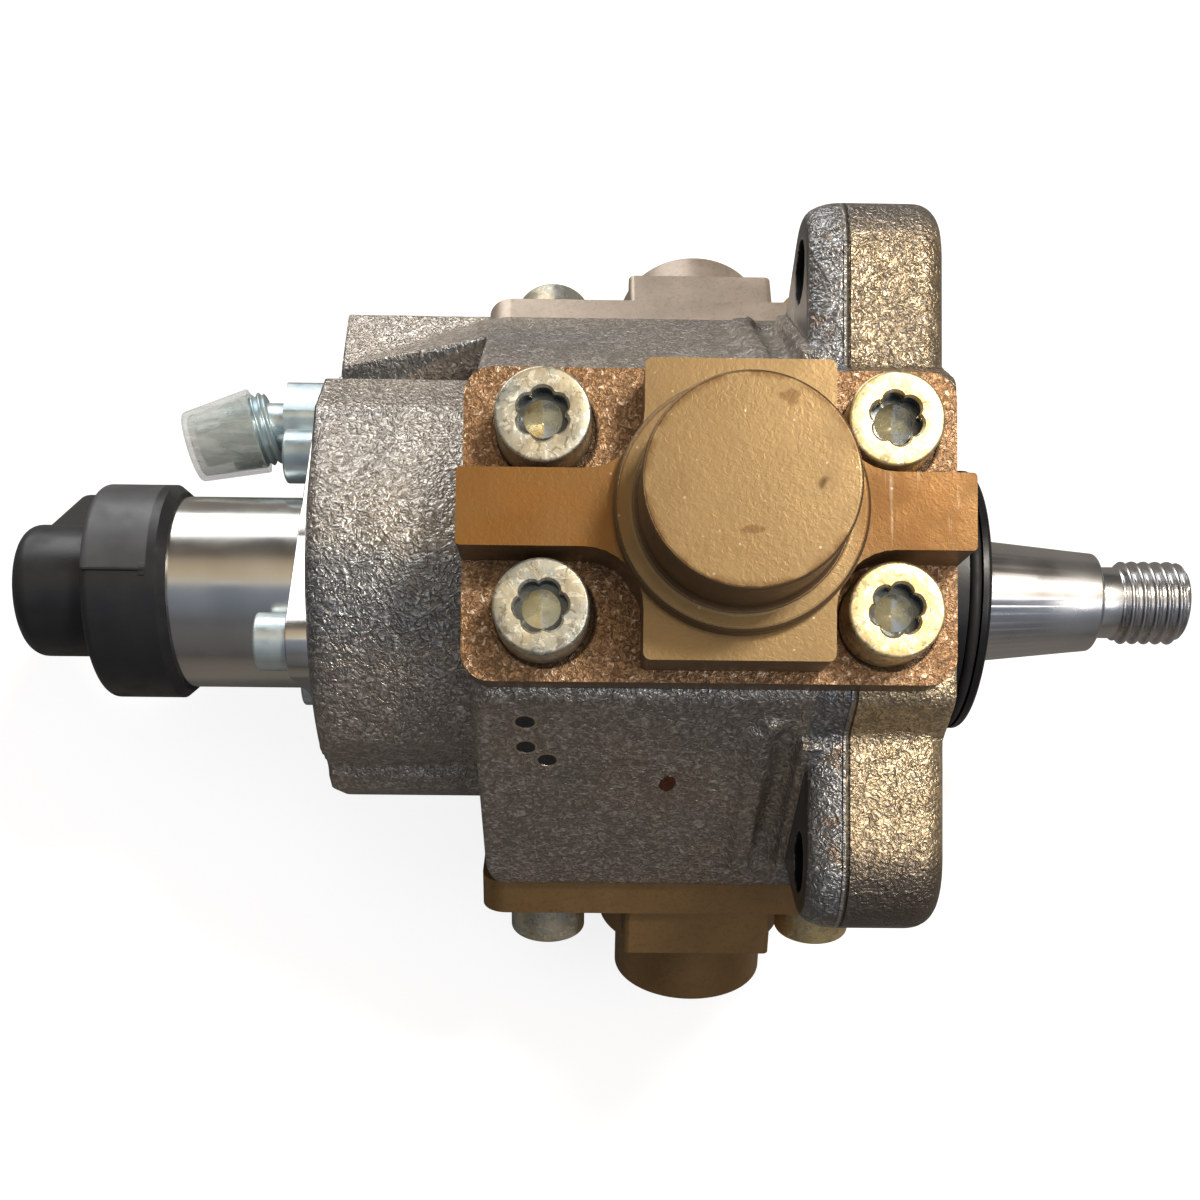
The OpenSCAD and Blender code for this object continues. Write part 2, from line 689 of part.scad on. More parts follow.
module cylinder_head(k) {
    color([0.6, 0.47, 0.27]) at_head(k) difference() {
        union() {
            translate([head_x, 0, pad_r]) linear_extrude(head_plate_t)
                polygon(rounded([for (c = [[-1, -1], [1, -1], [1, 1], [-1, 1]])
                    [c[0] * head_l / 2, c[1] * head_w / 2, 4]]));
            translate([0, 0, pad_r]) head_cross();
            translate([boss_x, 0, 0]) turned_z([[0, pad_r, 0], [collar_d / 2, pad_r, 0],
                [collar_d / 2, collar_top, 0.8], [boss_d / 2, collar_top, 1.2], [boss_d / 2, boss_top, 0.5],
                [0, boss_top, 0]]);
            rod_z(boss_x, 0, pad_r - skirt_len, pad_r + cut, skirt_d / 2);
        }
        for (p = bolt_places()) {
            rod_z(p[0], p[1], pad_r - cut, plate_top + cut, bolt_d / 2 + 0.2);
            rod_z(p[0], p[1], bolt_seat, cross_top, bolt_head_d / 2 + 0.8);
        }
        // Spring room, barrel bore and valve room
        rod_z(boss_x, 0, pad_r - skirt_len - cut, spring_seat, spring_room_r);
        rod_z(boss_x, 0, spring_seat - cut, valve_seat + slip_gap, barrel_d / 2 + press_gap);
        rod_z(boss_x, 0, valve_seat, valve_room_top, valve_room_r);
        // Outlet valve room, its seat and the drilling from the pumping chamber
        rod_z(boss_x + outlet_dx, 0, pad_r - cut, outlet_seat, outlet_room_r);
        rod_z(boss_x + outlet_dx, 0, outlet_seat - cut, valve_seat + 1.5, outlet_port_r);
        translate([0, 0, valve_seat + 1.2]) rod_x(boss_x + outlet_dx, boss_x, outlet_port_r);
        // Groove of the seal ring
        difference() {
            rod_z(boss_x, 0, seal_groove_z - 0.85, seal_groove_z + 0.85, skirt_d / 2 + cut);
            rod_z(boss_x, 0, seal_groove_z - 2, seal_groove_z + 2, skirt_d / 2 - seal_groove);
        }
    }
}

module head_bolts(k) {
    color([0.76, 0.74, 0.62]) at_head(k) for (p = bolt_places()) translate([p[0], p[1], 0]) difference() {
        turned_z([[0, bolt_seat - bolt_len, 0], [bolt_d / 2 - 0.8, bolt_seat - bolt_len, 0],
            [bolt_d / 2, bolt_seat - bolt_len + 0.8, 0], [bolt_d / 2, bolt_seat, 0],
            [bolt_head_d / 2, bolt_seat, 0], [bolt_head_d / 2, bolt_seat + bolt_head_h, 0.6],
            [0, bolt_seat + bolt_head_h, 0]]);
        translate([0, 0, bolt_seat + bolt_head_h]) lobed_recess(bolt_head_d * 0.3, bolt_head_h * 0.45);
    }
}

module head_o_ring(k) {
    color([0.05, 0.05, 0.05]) at_head(k) translate([boss_x, 0, seal_groove_z]) rotate_extrude()
        translate([skirt_d / 2 - seal_groove + seal_wire_r + press_gap, 0]) circle(r = seal_wire_r, $fn = 24);
}

module barrel(k) {
    color([0.62, 0.63, 0.65]) at_head(k) difference() {
        rod_z(boss_x, 0, barrel_z0, valve_seat, barrel_d / 2);
        rod_z(boss_x, 0, barrel_z0 - cut, valve_seat + cut, plunger_d / 2 + running_gap);
    }
}

module plunger(k) {
    color([0.8, 0.8, 0.82]) at_head(k) rod_z(boss_x, 0, foot_z + 1, plunger_top, plunger_d / 2);
}

module foot_plate(k) {
    hub_r = plunger_d / 2 + 2.2;
    color([0.4, 0.4, 0.42]) at_head(k) translate([boss_x, 0, 0]) difference() {
        turned_z([[0, foot_z, 0], [foot_d / 2, foot_z, 0.4], [foot_d / 2, foot_top, 0.4],
            [hub_r, foot_top, 0], [hub_r - 0.6, foot_top + hub_h, 0], [0, foot_top + hub_h, 0]]);
        rod_z(0, 0, foot_z + 1, foot_top + hub_h + cut, plunger_d / 2 + press_gap);
    }
}

module plunger_spring(k) {
    color([0.55, 0.56, 0.6]) at_head(k) translate([boss_x, 0, 0])
        coil_spring(spring_mean_d / 2, spring_wire / 2, foot_top + press_gap, spring_seat - press_gap,
            spring_turns);
}

module inlet_valve(k) {
    color([0.7, 0.7, 0.72]) at_head(k) translate([boss_x, 0, valve_seat + running_gap])
        turned_z([[0, 0, 0], [valve_disc_r, 0, 0.3], [valve_disc_r, valve_disc_t, 0.3],
            [valve_stem_r, valve_disc_t, 0.3], [valve_stem_r, valve_disc_t + valve_stem_h, 0.4],
            [0, valve_disc_t + valve_stem_h, 0]]);
}

module inlet_spring(k) {
    color([0.55, 0.56, 0.6]) at_head(k) translate([boss_x, 0, 0])
        coil_spring(valve_stem_r + 3 * valve_wire_r, valve_wire_r,
            valve_seat + valve_disc_t + 2 * running_gap, valve_room_top - press_gap, 4.5, 5, 10);
}

module outlet_ball(k) {
    color([0.8, 0.8, 0.82]) at_head(k) translate([boss_x + outlet_dx, 0, ball_z])
        sphere(r = ball_r, $fn = 32);
}

module outlet_spring(k) {
    color([0.55, 0.56, 0.6]) at_head(k) translate([boss_x + outlet_dx, 0, 0])
        coil_spring(ball_r - 0.6, outlet_wire_r, pad_r + press_gap, ball_z - ball_r + 0.2, 3, 5, 12);
}

// Metering unit

// Triangle of the flange, rounded round its three screws
function lug_section() =
    [for (a = lug_angles) let (p = polar(lug_screw_r + 2 * lug_r, a)) [p[0], p[1], lug_r]];

module at_lugs() {
    for (a = lug_angles) let (p = polar(lug_screw_r, a)) translate([0, p[0], p[1]]) children();
}

module metering_body() {
    color([0.74, 0.73, 0.7]) difference() {
        union() {
            along_x(lug_x) linear_extrude(lug_t) polygon(rounded(lug_section()));
            turned_x([[can_x, 0, 0], [can_x, can_d / 2, 0.4], [lug_x, can_d / 2, 0],
                [lug_x, can_d / 2 + 2.2, 0], [rear_x, can_d / 2 + 2.2, 0], [rear_x, 0, 0]]);
        }
        rod_x(can_x - cut, lug_x, can_d / 2 - can_wall);
        rod_x(lug_x - cut, rear_x + cut, sleeve_d / 2 + press_gap);
        at_lugs() rod_x(lug_x - cut, rear_x + cut, screw_d / 2 + screw_hole_gap);
    }
}

// Outline of the connector socket, drawn in by an offset
function socket_outline(inset) =
    [for (c = [[-1, -1], [1, -1], [1, 1], [-1, 1]])
        [c[0] * (cap_len / 2 - 0.4 - inset), c[1] * (socket_h / 2 - inset), 3 - inset * 0.7]];

module at_socket() {
    rotate([-socket_angle, 0, 0]) translate([cap_x + cap_len / 2, 0, 0]) children();
}

module metering_cover() {
    color([0.06, 0.06, 0.065]) difference() {
        union() {
            turned_x([[cap_x, 0, 0], [cap_x, cap_d / 2, 3], [cover_x, cap_d / 2, 0],
                [cover_x, cover_d / 2, 1.6], [can_x, cover_d / 2, 0], [can_x + 1.4, can_d / 2 + 0.7, 0],
                [can_x + 1.4, 0, 0]]);
            at_socket() linear_extrude(socket_reach) polygon(rounded(socket_outline(0)));
            // Latch rib along the socket
            at_socket() translate([-latch_w / 2, socket_h / 2 - cut, cap_d / 2])
                cube([latch_w, latch_t + cut, socket_reach - cap_d / 2 - 2]);
        }
        rod_x(can_x, can_x + 2 * cut, can_d / 2 + press_gap);
        at_socket() translate([0, 0, socket_floor]) linear_extrude(socket_depth + cut)
            polygon(rounded(socket_outline(socket_wall)));
        terminals(0, pin_root + cut);
    }
}

// Two flat blades that stand in the floor of the socket
module terminals(gap, length) {
    at_socket() for (side = [-1, 1])
        translate([gap - pin_t / 2, (side * pin_pitch - pin_w) / 2 + gap, socket_floor - pin_root])
            cube([pin_t - 2 * gap, pin_w - 2 * gap, length]);
}

module metering_terminals() {
    color([0.75, 0.66, 0.4]) terminals(press_gap, pin_len);
}

module metering_screws() {
    head_x0 = lug_x - screw_head_h;
    color([0.76, 0.76, 0.74]) at_lugs() difference() {
        turned_x([[head_x0, 0, 0], [head_x0, screw_head_r, 0.5], [lug_x, screw_head_r, 0],
            [lug_x, screw_d / 2, 0], [rear_x + screw_len - 1.5, screw_d / 2, 0],
            [rear_x + screw_len - 1, screw_d / 2 - 0.5, 0], [rear_x + screw_len - 1, 0, 0]]);
        translate([head_x0, 0, 0]) rotate([0, -90, 0]) lobed_recess(screw_head_r * 0.55, screw_head_h * 0.42);
    }
}

module metering_o_ring() {
    wire_r = 0.9;
    color([0.05, 0.05, 0.05]) along_x(rear_x + 6) rotate_extrude()
        translate([sleeve_d / 2 - 1.5 + wire_r - 0.3, 0]) circle(r = wire_r - 0.05, $fn = 24);
}

module metering_coil() {
    color([0.6, 0.33, 0.16]) difference() {
        rod_x(can_x + 3, lug_x - 0.5, coil_r);
        rod_x(can_x + 2, lug_x + cut, coil_bore_r);
    }
}

module metering_sleeve() {
    color([0.7, 0.7, 0.68]) difference() {
        rod_x(sleeve_x0, sleeve_x1, sleeve_d / 2);
        rod_x(rear_x, sleeve_x1 - sleeve_wall, piston_d / 2 + running_gap);
        rod_x(sleeve_x0 - cut, rear_x + cut, rod_r + slip_gap);
        rod_x(sleeve_x1 - 2 * sleeve_wall, sleeve_x1 + cut, 2);
        difference() {
            rod_x(rear_x + 5, rear_x + 7, sleeve_d / 2 + cut);
            rod_x(rear_x + 4, rear_x + 8, sleeve_d / 2 - 1.8);
        }
    }
}

module metering_piston() {
    rod_x0 = lug_x - rod_lead;
    color([0.78, 0.78, 0.8]) {
        rod_x(piston_x, piston_x + piston_len, piston_d / 2);
        rod_x(rod_x0 - cut, piston_x + cut, rod_r);
        rod_x(rod_x0 - armature_len, rod_x0, armature_r);
    }
}

module metering_spring() {
    color([0.55, 0.56, 0.6]) along_x(0)
        coil_spring(piston_d / 2 - 1.4, piston_wire_r, piston_x + piston_len + press_gap,
            sleeve_x1 - sleeve_wall - press_gap, 3.5, 5, 12);
}

// Fuel connections

module inlet_fitting() {
    color([0.78, 0.79, 0.8]) translate([0, inlet_y, -inlet_z]) difference() {
        union() {
            rod_x(rear_x - washer_t, rear_x + inlet_spigot_len, inlet_port_r);
            along_x(inlet_hex_x) linear_extrude(hex_len) intersection() {
                rotate(30) circle(r = inlet_af / sqrt(3), $fn = 6);
                circle(r = inlet_af / sqrt(3) - 0.4);
            }
            rod_x(inlet_stub_x - 1.5, inlet_hex_x + cut, inlet_neck_r);
            translate([inlet_stub_x, 0, 0]) rotate([0, 0, inlet_bend])
                turned_x([[-inlet_cap_len - 0.6, 0, 0], [-inlet_cap_len - 0.6, inlet_root_r, 0.5],
                    [0.4 - stub_thread_len, inlet_root_r, 0], [0.4 - stub_thread_len, inlet_stub_d / 2, 0.3],
                    [0.4, inlet_stub_d / 2, 0.3], [0.4, 0, 0]]);
        }
        rod_x(inlet_stub_x, rear_x + inlet_spigot_len + cut, inlet_bore_r + 0.2);
        translate([inlet_stub_x, 0, 0]) rotate([0, 0, inlet_bend]) rod_x(-inlet_cap_len - 2, 1.5, inlet_bore_r);
    }
}

module inlet_washer() {
    color([0.12, 0.12, 0.12]) translate([0, inlet_y, -inlet_z]) difference() {
        rod_x(rear_x - washer_t, rear_x, inlet_port_r + 1.5);
        rod_x(rear_x - washer_t - cut, rear_x + cut, inlet_port_r + press_gap);
    }
}

module inlet_cap() {
    tip = cap_mouth - inlet_cap_len;
    color([0.8, 0.82, 0.8, 0.6]) translate([inlet_stub_x, inlet_y, -inlet_z]) rotate([0, 0, inlet_bend])
    difference() {
        turned_x([[tip, 0, 0], [tip, cap_tip_r, 0.8], [cap_mouth, cap_mouth_r, 0.2], [cap_mouth, 0, 0]]);
        turned_x([[tip + 0.9, 0, 0], [tip + 0.9, cap_tip_r - cap_wall, 0.4],
            [cap_mouth + cut, cap_mouth_r - cap_wall, 0], [cap_mouth + cut, 0, 0]]);
    }
}

module sealing_balls() {
    color([0.72, 0.72, 0.74]) translate([rear_x + 0.6, sealing_ball_y, 0])
        sphere(r = sealing_ball_r, $fn = 32);
}

module outlet_fitting() {
    z1 = underside();
    color([0.74, 0.74, 0.74]) translate([-outlet_back, 0, 0]) difference() {
        union() {
            rod_z(0, 0, z1 - cut, -outlet_depth(), outlet_thread_r);
            rod_z(0, 0, z1 - outlet_rim_h - 0.2, z1, outlet_af / 2);
            translate([0, 0, z1 - outlet_rim_h - outlet_hex_h]) linear_extrude(outlet_hex_h)
                circle(r = outlet_af / sqrt(3), $fn = 6);
            translate([0, 0, z1]) turned_z([[0, -outlet_len, 0], [outlet_thread_r - 0.8, -outlet_len, 0],
                [outlet_thread_r, 0.8 - outlet_len, 0], [outlet_thread_r, -outlet_hex_h, 0],
                [0, -outlet_hex_h, 0]]);
        }
        rod_z(0, 0, z1 - outlet_len - cut, -outlet_depth() + cut, outlet_bore_r);
        translate([0, 0, z1 - outlet_len - 0.1]) cylinder(r1 = outlet_cone_r, r2 = outlet_bore_r, h = 5.6);
    }
}

module overflow_plug() {
    color([0.74, 0.74, 0.74]) translate([overflow_x, 0, 0]) {
        rod_z(0, 0, -drum_r - 2, overflow_plug_z, overflow_d / 2);
        rod_z(0, 0, -drum_r - 1.6, -drum_r - 0.1, plug_rim_r);
        translate([0, 0, -drum_r - 1.5 - plug_hex_h]) linear_extrude(plug_hex_h)
            circle(r = plug_hex_r, $fn = 6);
    }
}

module overflow_piston() {
    color([0.78, 0.78, 0.8]) rod_z(overflow_x, 0, overflow_piston_z0, overflow_piston_z1, overflow_d / 2);
}

module overflow_spring() {
    color([0.55, 0.56, 0.6]) translate([overflow_x, 0, 0])
        coil_spring(overflow_d / 2 - 1, piston_wire_r, overflow_plug_z + press_gap,
            overflow_piston_z0 - press_gap, 3.5, 5, 12);
}

pump_housing();
bearing_flange();
pilot_o_ring();
front_bearing_bush();
rear_bearing_bush();
shaft_seal();
drive_shaft();
polygon_ring();
ring_bush();
cylinder_head(0);  // cylinder_head_a
cylinder_head(1);  // cylinder_head_b
cylinder_head(2);  // cylinder_head_c
head_bolts(0);  // head_bolts_a
head_bolts(1);  // head_bolts_b
head_bolts(2);  // head_bolts_c
head_o_ring(0);  // head_o_ring_a
head_o_ring(1);  // head_o_ring_b
head_o_ring(2);  // head_o_ring_c
barrel(0);  // barrel_a
barrel(1);  // barrel_b
barrel(2);  // barrel_c
plunger(0);  // plunger_a
plunger(1);  // plunger_b
plunger(2);  // plunger_c
foot_plate(0);  // foot_plate_a
foot_plate(1);  // foot_plate_b
foot_plate(2);  // foot_plate_c
plunger_spring(0);  // plunger_spring_a
plunger_spring(1);  // plunger_spring_b
plunger_spring(2);  // plunger_spring_c
inlet_valve(0);  // inlet_valve_a
inlet_valve(1);  // inlet_valve_b
inlet_valve(2);  // inlet_valve_c
inlet_spring(0);  // inlet_spring_a
inlet_spring(1);  // inlet_spring_b
inlet_spring(2);  // inlet_spring_c
outlet_ball(0);  // outlet_ball_a
outlet_ball(1);  // outlet_ball_b
outlet_ball(2);  // outlet_ball_c
outlet_spring(0);  // outlet_spring_a
outlet_spring(1);  // outlet_spring_b
outlet_spring(2);  // outlet_spring_c
metering_body();
metering_cover();
metering_terminals();
metering_screws();
metering_o_ring();
metering_coil();
metering_sleeve();
metering_piston();
metering_spring();
inlet_fitting();
inlet_washer();
inlet_cap();
sealing_balls();
outlet_fitting();
overflow_plug();
overflow_piston();
overflow_spring();
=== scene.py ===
"""Looks of the diesel injection pump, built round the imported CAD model. Metres, same frame as the CAD."""

import json
import math

import bmesh
import bpy
from mathutils import Matrix, Vector


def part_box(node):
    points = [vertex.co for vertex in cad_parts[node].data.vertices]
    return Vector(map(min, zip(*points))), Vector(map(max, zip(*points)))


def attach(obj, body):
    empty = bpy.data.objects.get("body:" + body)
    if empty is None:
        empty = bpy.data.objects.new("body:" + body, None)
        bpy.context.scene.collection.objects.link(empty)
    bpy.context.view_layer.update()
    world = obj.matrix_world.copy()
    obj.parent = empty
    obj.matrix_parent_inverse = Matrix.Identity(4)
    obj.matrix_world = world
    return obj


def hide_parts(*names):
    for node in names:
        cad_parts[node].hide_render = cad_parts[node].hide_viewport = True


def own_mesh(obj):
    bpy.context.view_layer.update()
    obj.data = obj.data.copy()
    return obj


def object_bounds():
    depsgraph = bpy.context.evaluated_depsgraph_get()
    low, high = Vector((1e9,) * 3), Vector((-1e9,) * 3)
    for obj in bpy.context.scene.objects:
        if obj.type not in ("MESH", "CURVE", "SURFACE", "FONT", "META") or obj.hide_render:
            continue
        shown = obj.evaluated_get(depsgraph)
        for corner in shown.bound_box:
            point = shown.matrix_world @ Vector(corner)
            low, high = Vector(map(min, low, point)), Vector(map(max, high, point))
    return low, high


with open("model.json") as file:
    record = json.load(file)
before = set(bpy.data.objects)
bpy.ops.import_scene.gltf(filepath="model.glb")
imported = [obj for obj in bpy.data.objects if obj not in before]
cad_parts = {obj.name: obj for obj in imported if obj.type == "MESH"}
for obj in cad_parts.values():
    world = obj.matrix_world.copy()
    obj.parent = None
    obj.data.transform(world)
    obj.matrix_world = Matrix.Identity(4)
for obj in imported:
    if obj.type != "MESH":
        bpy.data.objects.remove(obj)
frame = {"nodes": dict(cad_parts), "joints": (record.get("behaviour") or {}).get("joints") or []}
cad_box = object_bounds()
nodes = frame["nodes"]
MM = 0.001
scene = bpy.context.scene
scene.view_settings.view_transform = "Standard"

# Stations and sizes of the CAD model that the looks refer to, in metres
RIM_BACK = -15.2 * MM
EAR_BACK = -20.5 * MM
PLATE_TOP = 49.4 * MM
CROSS_TOP = 58.4 * MM
BOSS_TOP = 72.5 * MM
BOSS_X = -32.9 * MM
CROSS_HALF = 12.7 * MM
REAR = -95.0 * MM
COLLAR_X = -133.2 * MM
EAR_HOLE_R = 52.5 * MM
EAR_ANGLES = (60, 180, 300)
BOLT_X = -35.5 * MM
BOLT_STEP_X, BOLT_STEP_Y = 23.6 * MM, 12.85 * MM
BOLT_TOP = 57.0 * MM
BOLT_SEAT = 49.0 * MM
BLOCK_BACK = -69.6 * MM
# Where the photo has three punch marks on the flat side beside the front head
PUNCHES = [(-61.7 * MM, -26.0 * MM, 38.1 * MM), (-61.7 * MM, -29.1 * MM, 32.8 * MM),
           (-58.6 * MM, -30.7 * MM, 30.0 * MM)]
# Where the CAD model has them, in millimetres: the first one, and the step to the next
CAD_MARK = (-65.0, -29.6, 32.0)
CAD_MARK_STEP = (1.9, -3.6, -6.2)
# The places of a Mix node's two colour inputs and its colour output among the sockets of all data types
COLOR_A, COLOR_B, COLOR_OUT = 6, 7, 2


def bolt_places():
    """The four bolt axes of a head as (x, y), in the head's own frame."""
    return [(BOLT_X + i * BOLT_STEP_X, j * BOLT_STEP_Y) for i in (-1, 1) for j in (-1, 1)]


def head_turn(k):
    """How far each head's own frame is turned about the shaft."""
    return math.radians(120 * "abc".index(k))


def polar(r, degrees):
    """A place round the shaft as (y, z), with the angle counted from +Z towards -Y as the heads are."""
    a = math.radians(degrees)
    return -r * math.sin(a), r * math.cos(a)


# Node helpers

class Surface:
    """A Principled material fed by procedural nodes in object space, or in a frame turned about X."""

    def __init__(self, name, color, metallic, rough, turn=0.0, **sockets):
        self.mat = bpy.data.materials.new(name)
        self.mat.use_nodes = True
        self.mat.diffuse_color = (*color, 1)
        self.tree = self.mat.node_tree
        self.bsdf = self.tree.nodes["Principled BSDF"]
        self.bsdf.inputs["Base Color"].default_value = (*color, 1)
        self.bsdf.inputs["Metallic"].default_value = metallic
        self.bsdf.inputs["Roughness"].default_value = rough
        for key, value in sockets.items():
            self.bsdf.inputs[key.replace("_", " ")].default_value = value
        self.turn = turn
        self.where = self.turned("Object")
        self.normal = None

    def add(self, kind, **props):
        n = self.tree.nodes.new(kind)
        for key, value in props.items():
            setattr(n, key, value)
        return n

    def link(self, a, b):
        self.tree.links.new(a, b)

    def turned(self, output):
        """Object coordinates or normals, brought into a frame turned about X."""
        source = self.add("ShaderNodeTexCoord").outputs[output]
        if not self.turn:
            return source
        m = self.add("ShaderNodeMapping", vector_type="VECTOR")
        m.inputs["Rotation"].default_value = (self.turn, 0, 0)
        self.link(source, m.inputs["Vector"])
        return m.outputs["Vector"]

    def scaled(self, scale, turn=(0, 0, 0), place=(0, 0, 0)):
        m = self.add("ShaderNodeMapping")
        m.inputs["Scale"].default_value = scale
        m.inputs["Rotation"].default_value = turn
        m.inputs["Location"].default_value = place
        self.link(self.where, m.inputs["Vector"])
        return m.outputs["Vector"]

    def noise(self, scale, detail=2.0, rough=0.5, distortion=0.0, vector=None):
        n = self.add("ShaderNodeTexNoise")
        n.inputs["Scale"].default_value = scale
        n.inputs["Detail"].default_value = detail
        n.inputs["Roughness"].default_value = rough
        n.inputs["Distortion"].default_value = distortion
        self.link(vector or self.where, n.inputs["Vector"])
        return n.outputs["Fac"]

    def voronoi(self, scale):
        n = self.add("ShaderNodeTexVoronoi")
        n.inputs["Scale"].default_value = scale
        self.link(self.where, n.inputs["Vector"])
        return n.outputs["Distance"]

    def remap(self, value, lo, hi, out_lo=0.0, out_hi=1.0):
        n = self.add("ShaderNodeMapRange", interpolation_type="SMOOTHSTEP")
        n.inputs["From Min"].default_value = lo
        n.inputs["From Max"].default_value = hi
        n.inputs["To Min"].default_value = out_lo
        n.inputs["To Max"].default_value = out_hi
        self.link(value, n.inputs["Value"])
        return n.outputs["Result"]

    def math(self, op, a, b=None):
        n = self.add("ShaderNodeMath", operation=op)
        for socket, value in zip(n.inputs, (a, b)):
            if value is None:
                continue
            if isinstance(value, (int, float)):
                socket.default_value = value
            else:
                self.link(value, socket)
        return n.outputs["Value"]

    def times(self, *values):
        out = values[0]
        for v in values[1:]:
            out = self.math("MULTIPLY", out, v)
        return out

    def mix(self, fac, a, b):
        n = self.add("ShaderNodeMix", data_type="RGBA")
        self.link(fac, n.inputs["Factor"])
        for socket, value in ((n.inputs[COLOR_A], a), (n.inputs[COLOR_B], b)):
            if isinstance(value, tuple):
                socket.default_value = (*value, 1)
            else:
                self.link(value, socket)
        return n.outputs[COLOR_OUT]

    def highest(self, values):
        """The largest of several values."""
        out = values[0]
        for v in values[1:]:
            out = self.math("MAXIMUM", out, v)
        return out

    def near_bolts(self, r, soft, shift=0.0):
        """1 within r of any bolt axis of a head, falling to 0 over soft."""
        away = [self.far_from((x + shift, y, 0), (1, 1, 0)) for x, y in bolt_places()]
        return self.highest([self.remap(d, r, r + soft, 1.0, 0.0) for d in away])

    def axis(self, name):
        n = self.add("ShaderNodeSeparateXYZ")
        self.link(self.where, n.inputs["Vector"])
        return n.outputs[name]

    def facing(self, name):
        """One component of the surface normal, in the same frame as the places."""
        n = self.add("ShaderNodeSeparateXYZ")
        self.link(self.turned("Normal"), n.inputs["Vector"])
        return n.outputs[name]

    def far_from(self, place, keep=(1, 1, 1)):
        """Distance from a point, or from an axis where keep drops a component."""
        n = self.add("ShaderNodeVectorMath", operation="LENGTH")
        self.link(self.scaled(keep, place=tuple(-p * k for p, k in zip(place, keep))), n.inputs[0])
        return n.outputs["Value"]

    def band(self, value, middle, half, soft):
        """1 where the value is within half of the middle, falling to 0 over soft."""
        off = self.math("ABSOLUTE", self.math("SUBTRACT", value, middle))
        return self.remap(off, half, half + soft, 1.0, 0.0)

    def paint(self, color):
        self.link(color, self.bsdf.inputs["Base Color"])

    def gloss(self, value):
        self.link(value, self.bsdf.inputs["Roughness"])

    def bump(self, height, distance, strength=1.0):
        n = self.add("ShaderNodeBump")
        n.inputs["Strength"].default_value = strength
        n.inputs["Distance"].default_value = distance
        self.link(height, n.inputs["Height"])
        if self.normal:
            self.link(self.normal, n.inputs["Normal"])
        self.normal = n.outputs["Normal"]
        self.link(self.normal, self.bsdf.inputs["Normal"])


def dress(obj, surface):
    """The whole object gets one material."""
    obj.data.materials.clear()
    obj.data.materials.append(surface.mat)


# Materials

def machined_zones(s, x, far):
    """Masks of the machined faces, of the rear one by itself, and of the bores behind the ears' holes."""
    facing_back = s.remap(s.facing("X"), -0.97, -0.9, 1.0, 0.0)
    mounting_face = s.remap(x, -0.4 * MM, -0.1 * MM)
    rear_face = s.remap(x, REAR + 0.1 * MM, REAR + 0.4 * MM, 1.0, 0.0)
    spot_faces = s.times(s.band(x, EAR_BACK, 0.4 * MM, 0.3 * MM), facing_back, s.remap(far, 43 * MM, 44 * MM))
    holes = [s.far_from((0, *polar(EAR_HOLE_R, angle)), (0, 1, 1)) for angle in EAR_ANGLES]
    bores = s.highest([s.remap(d, 4.6 * MM, 4.9 * MM, 1.0, 0.0) for d in holes])
    return s.highest([spot_faces, mounting_face, rear_face]), rear_face, bores


def cast_relief(s):
    """Height of the skin, from hills, winding wrinkles and a fine grain, and the grain by itself."""
    worm = s.remap(s.math("ABSOLUTE", s.math("SUBTRACT", s.noise(560, 1.0, 0.5, 1.5), 0.5)), 0.0, 0.14)
    fine = s.noise(1700, 2.0, 0.5, 1.0)
    hills = s.noise(830, 1.0, 0.5, 1.5)
    return s.math("ADD", s.math("ADD", s.times(hills, 1.3), s.times(worm, 0.22)), s.times(fine, 0.3)), fine


def block_tones_and_painted_light(s, x, broad):
    """Broad tones of the casting, with painted light and shade: paler above and below the drum, and a cool
    painted shade along its middle.
    """
    behind_block = s.remap(x, -66 * MM, -72 * MM)
    tone = s.mix(s.remap(broad, 0.32, 0.68), (0.4, 0.38, 0.36), (0.54, 0.495, 0.435))
    # Painted light: behind the block, faces turned towards +Y are painted paler
    up = s.times(s.remap(s.facing("Y"), 0.3, 0.7), behind_block)
    tone = s.mix(s.times(up, 0.8), tone, (0.6, 0.53, 0.45))
    # Painted light: faces turned towards -Y are painted paler
    down = s.remap(s.facing("Y"), -0.25, -0.6)
    tone = s.mix(s.times(down, s.remap(broad, 0.3, 0.7, 0.4, 0.9)), tone, (0.5, 0.43, 0.365))
    # Painted shade: a cool dark band where the drum's faces turn slightly towards -Y
    painted_cold_shade = s.times(s.band(s.facing("Y"), -0.2, 0.12, 0.15), behind_block)
    return s.mix(s.times(painted_cold_shade, 0.7), tone, (0.24, 0.26, 0.285))


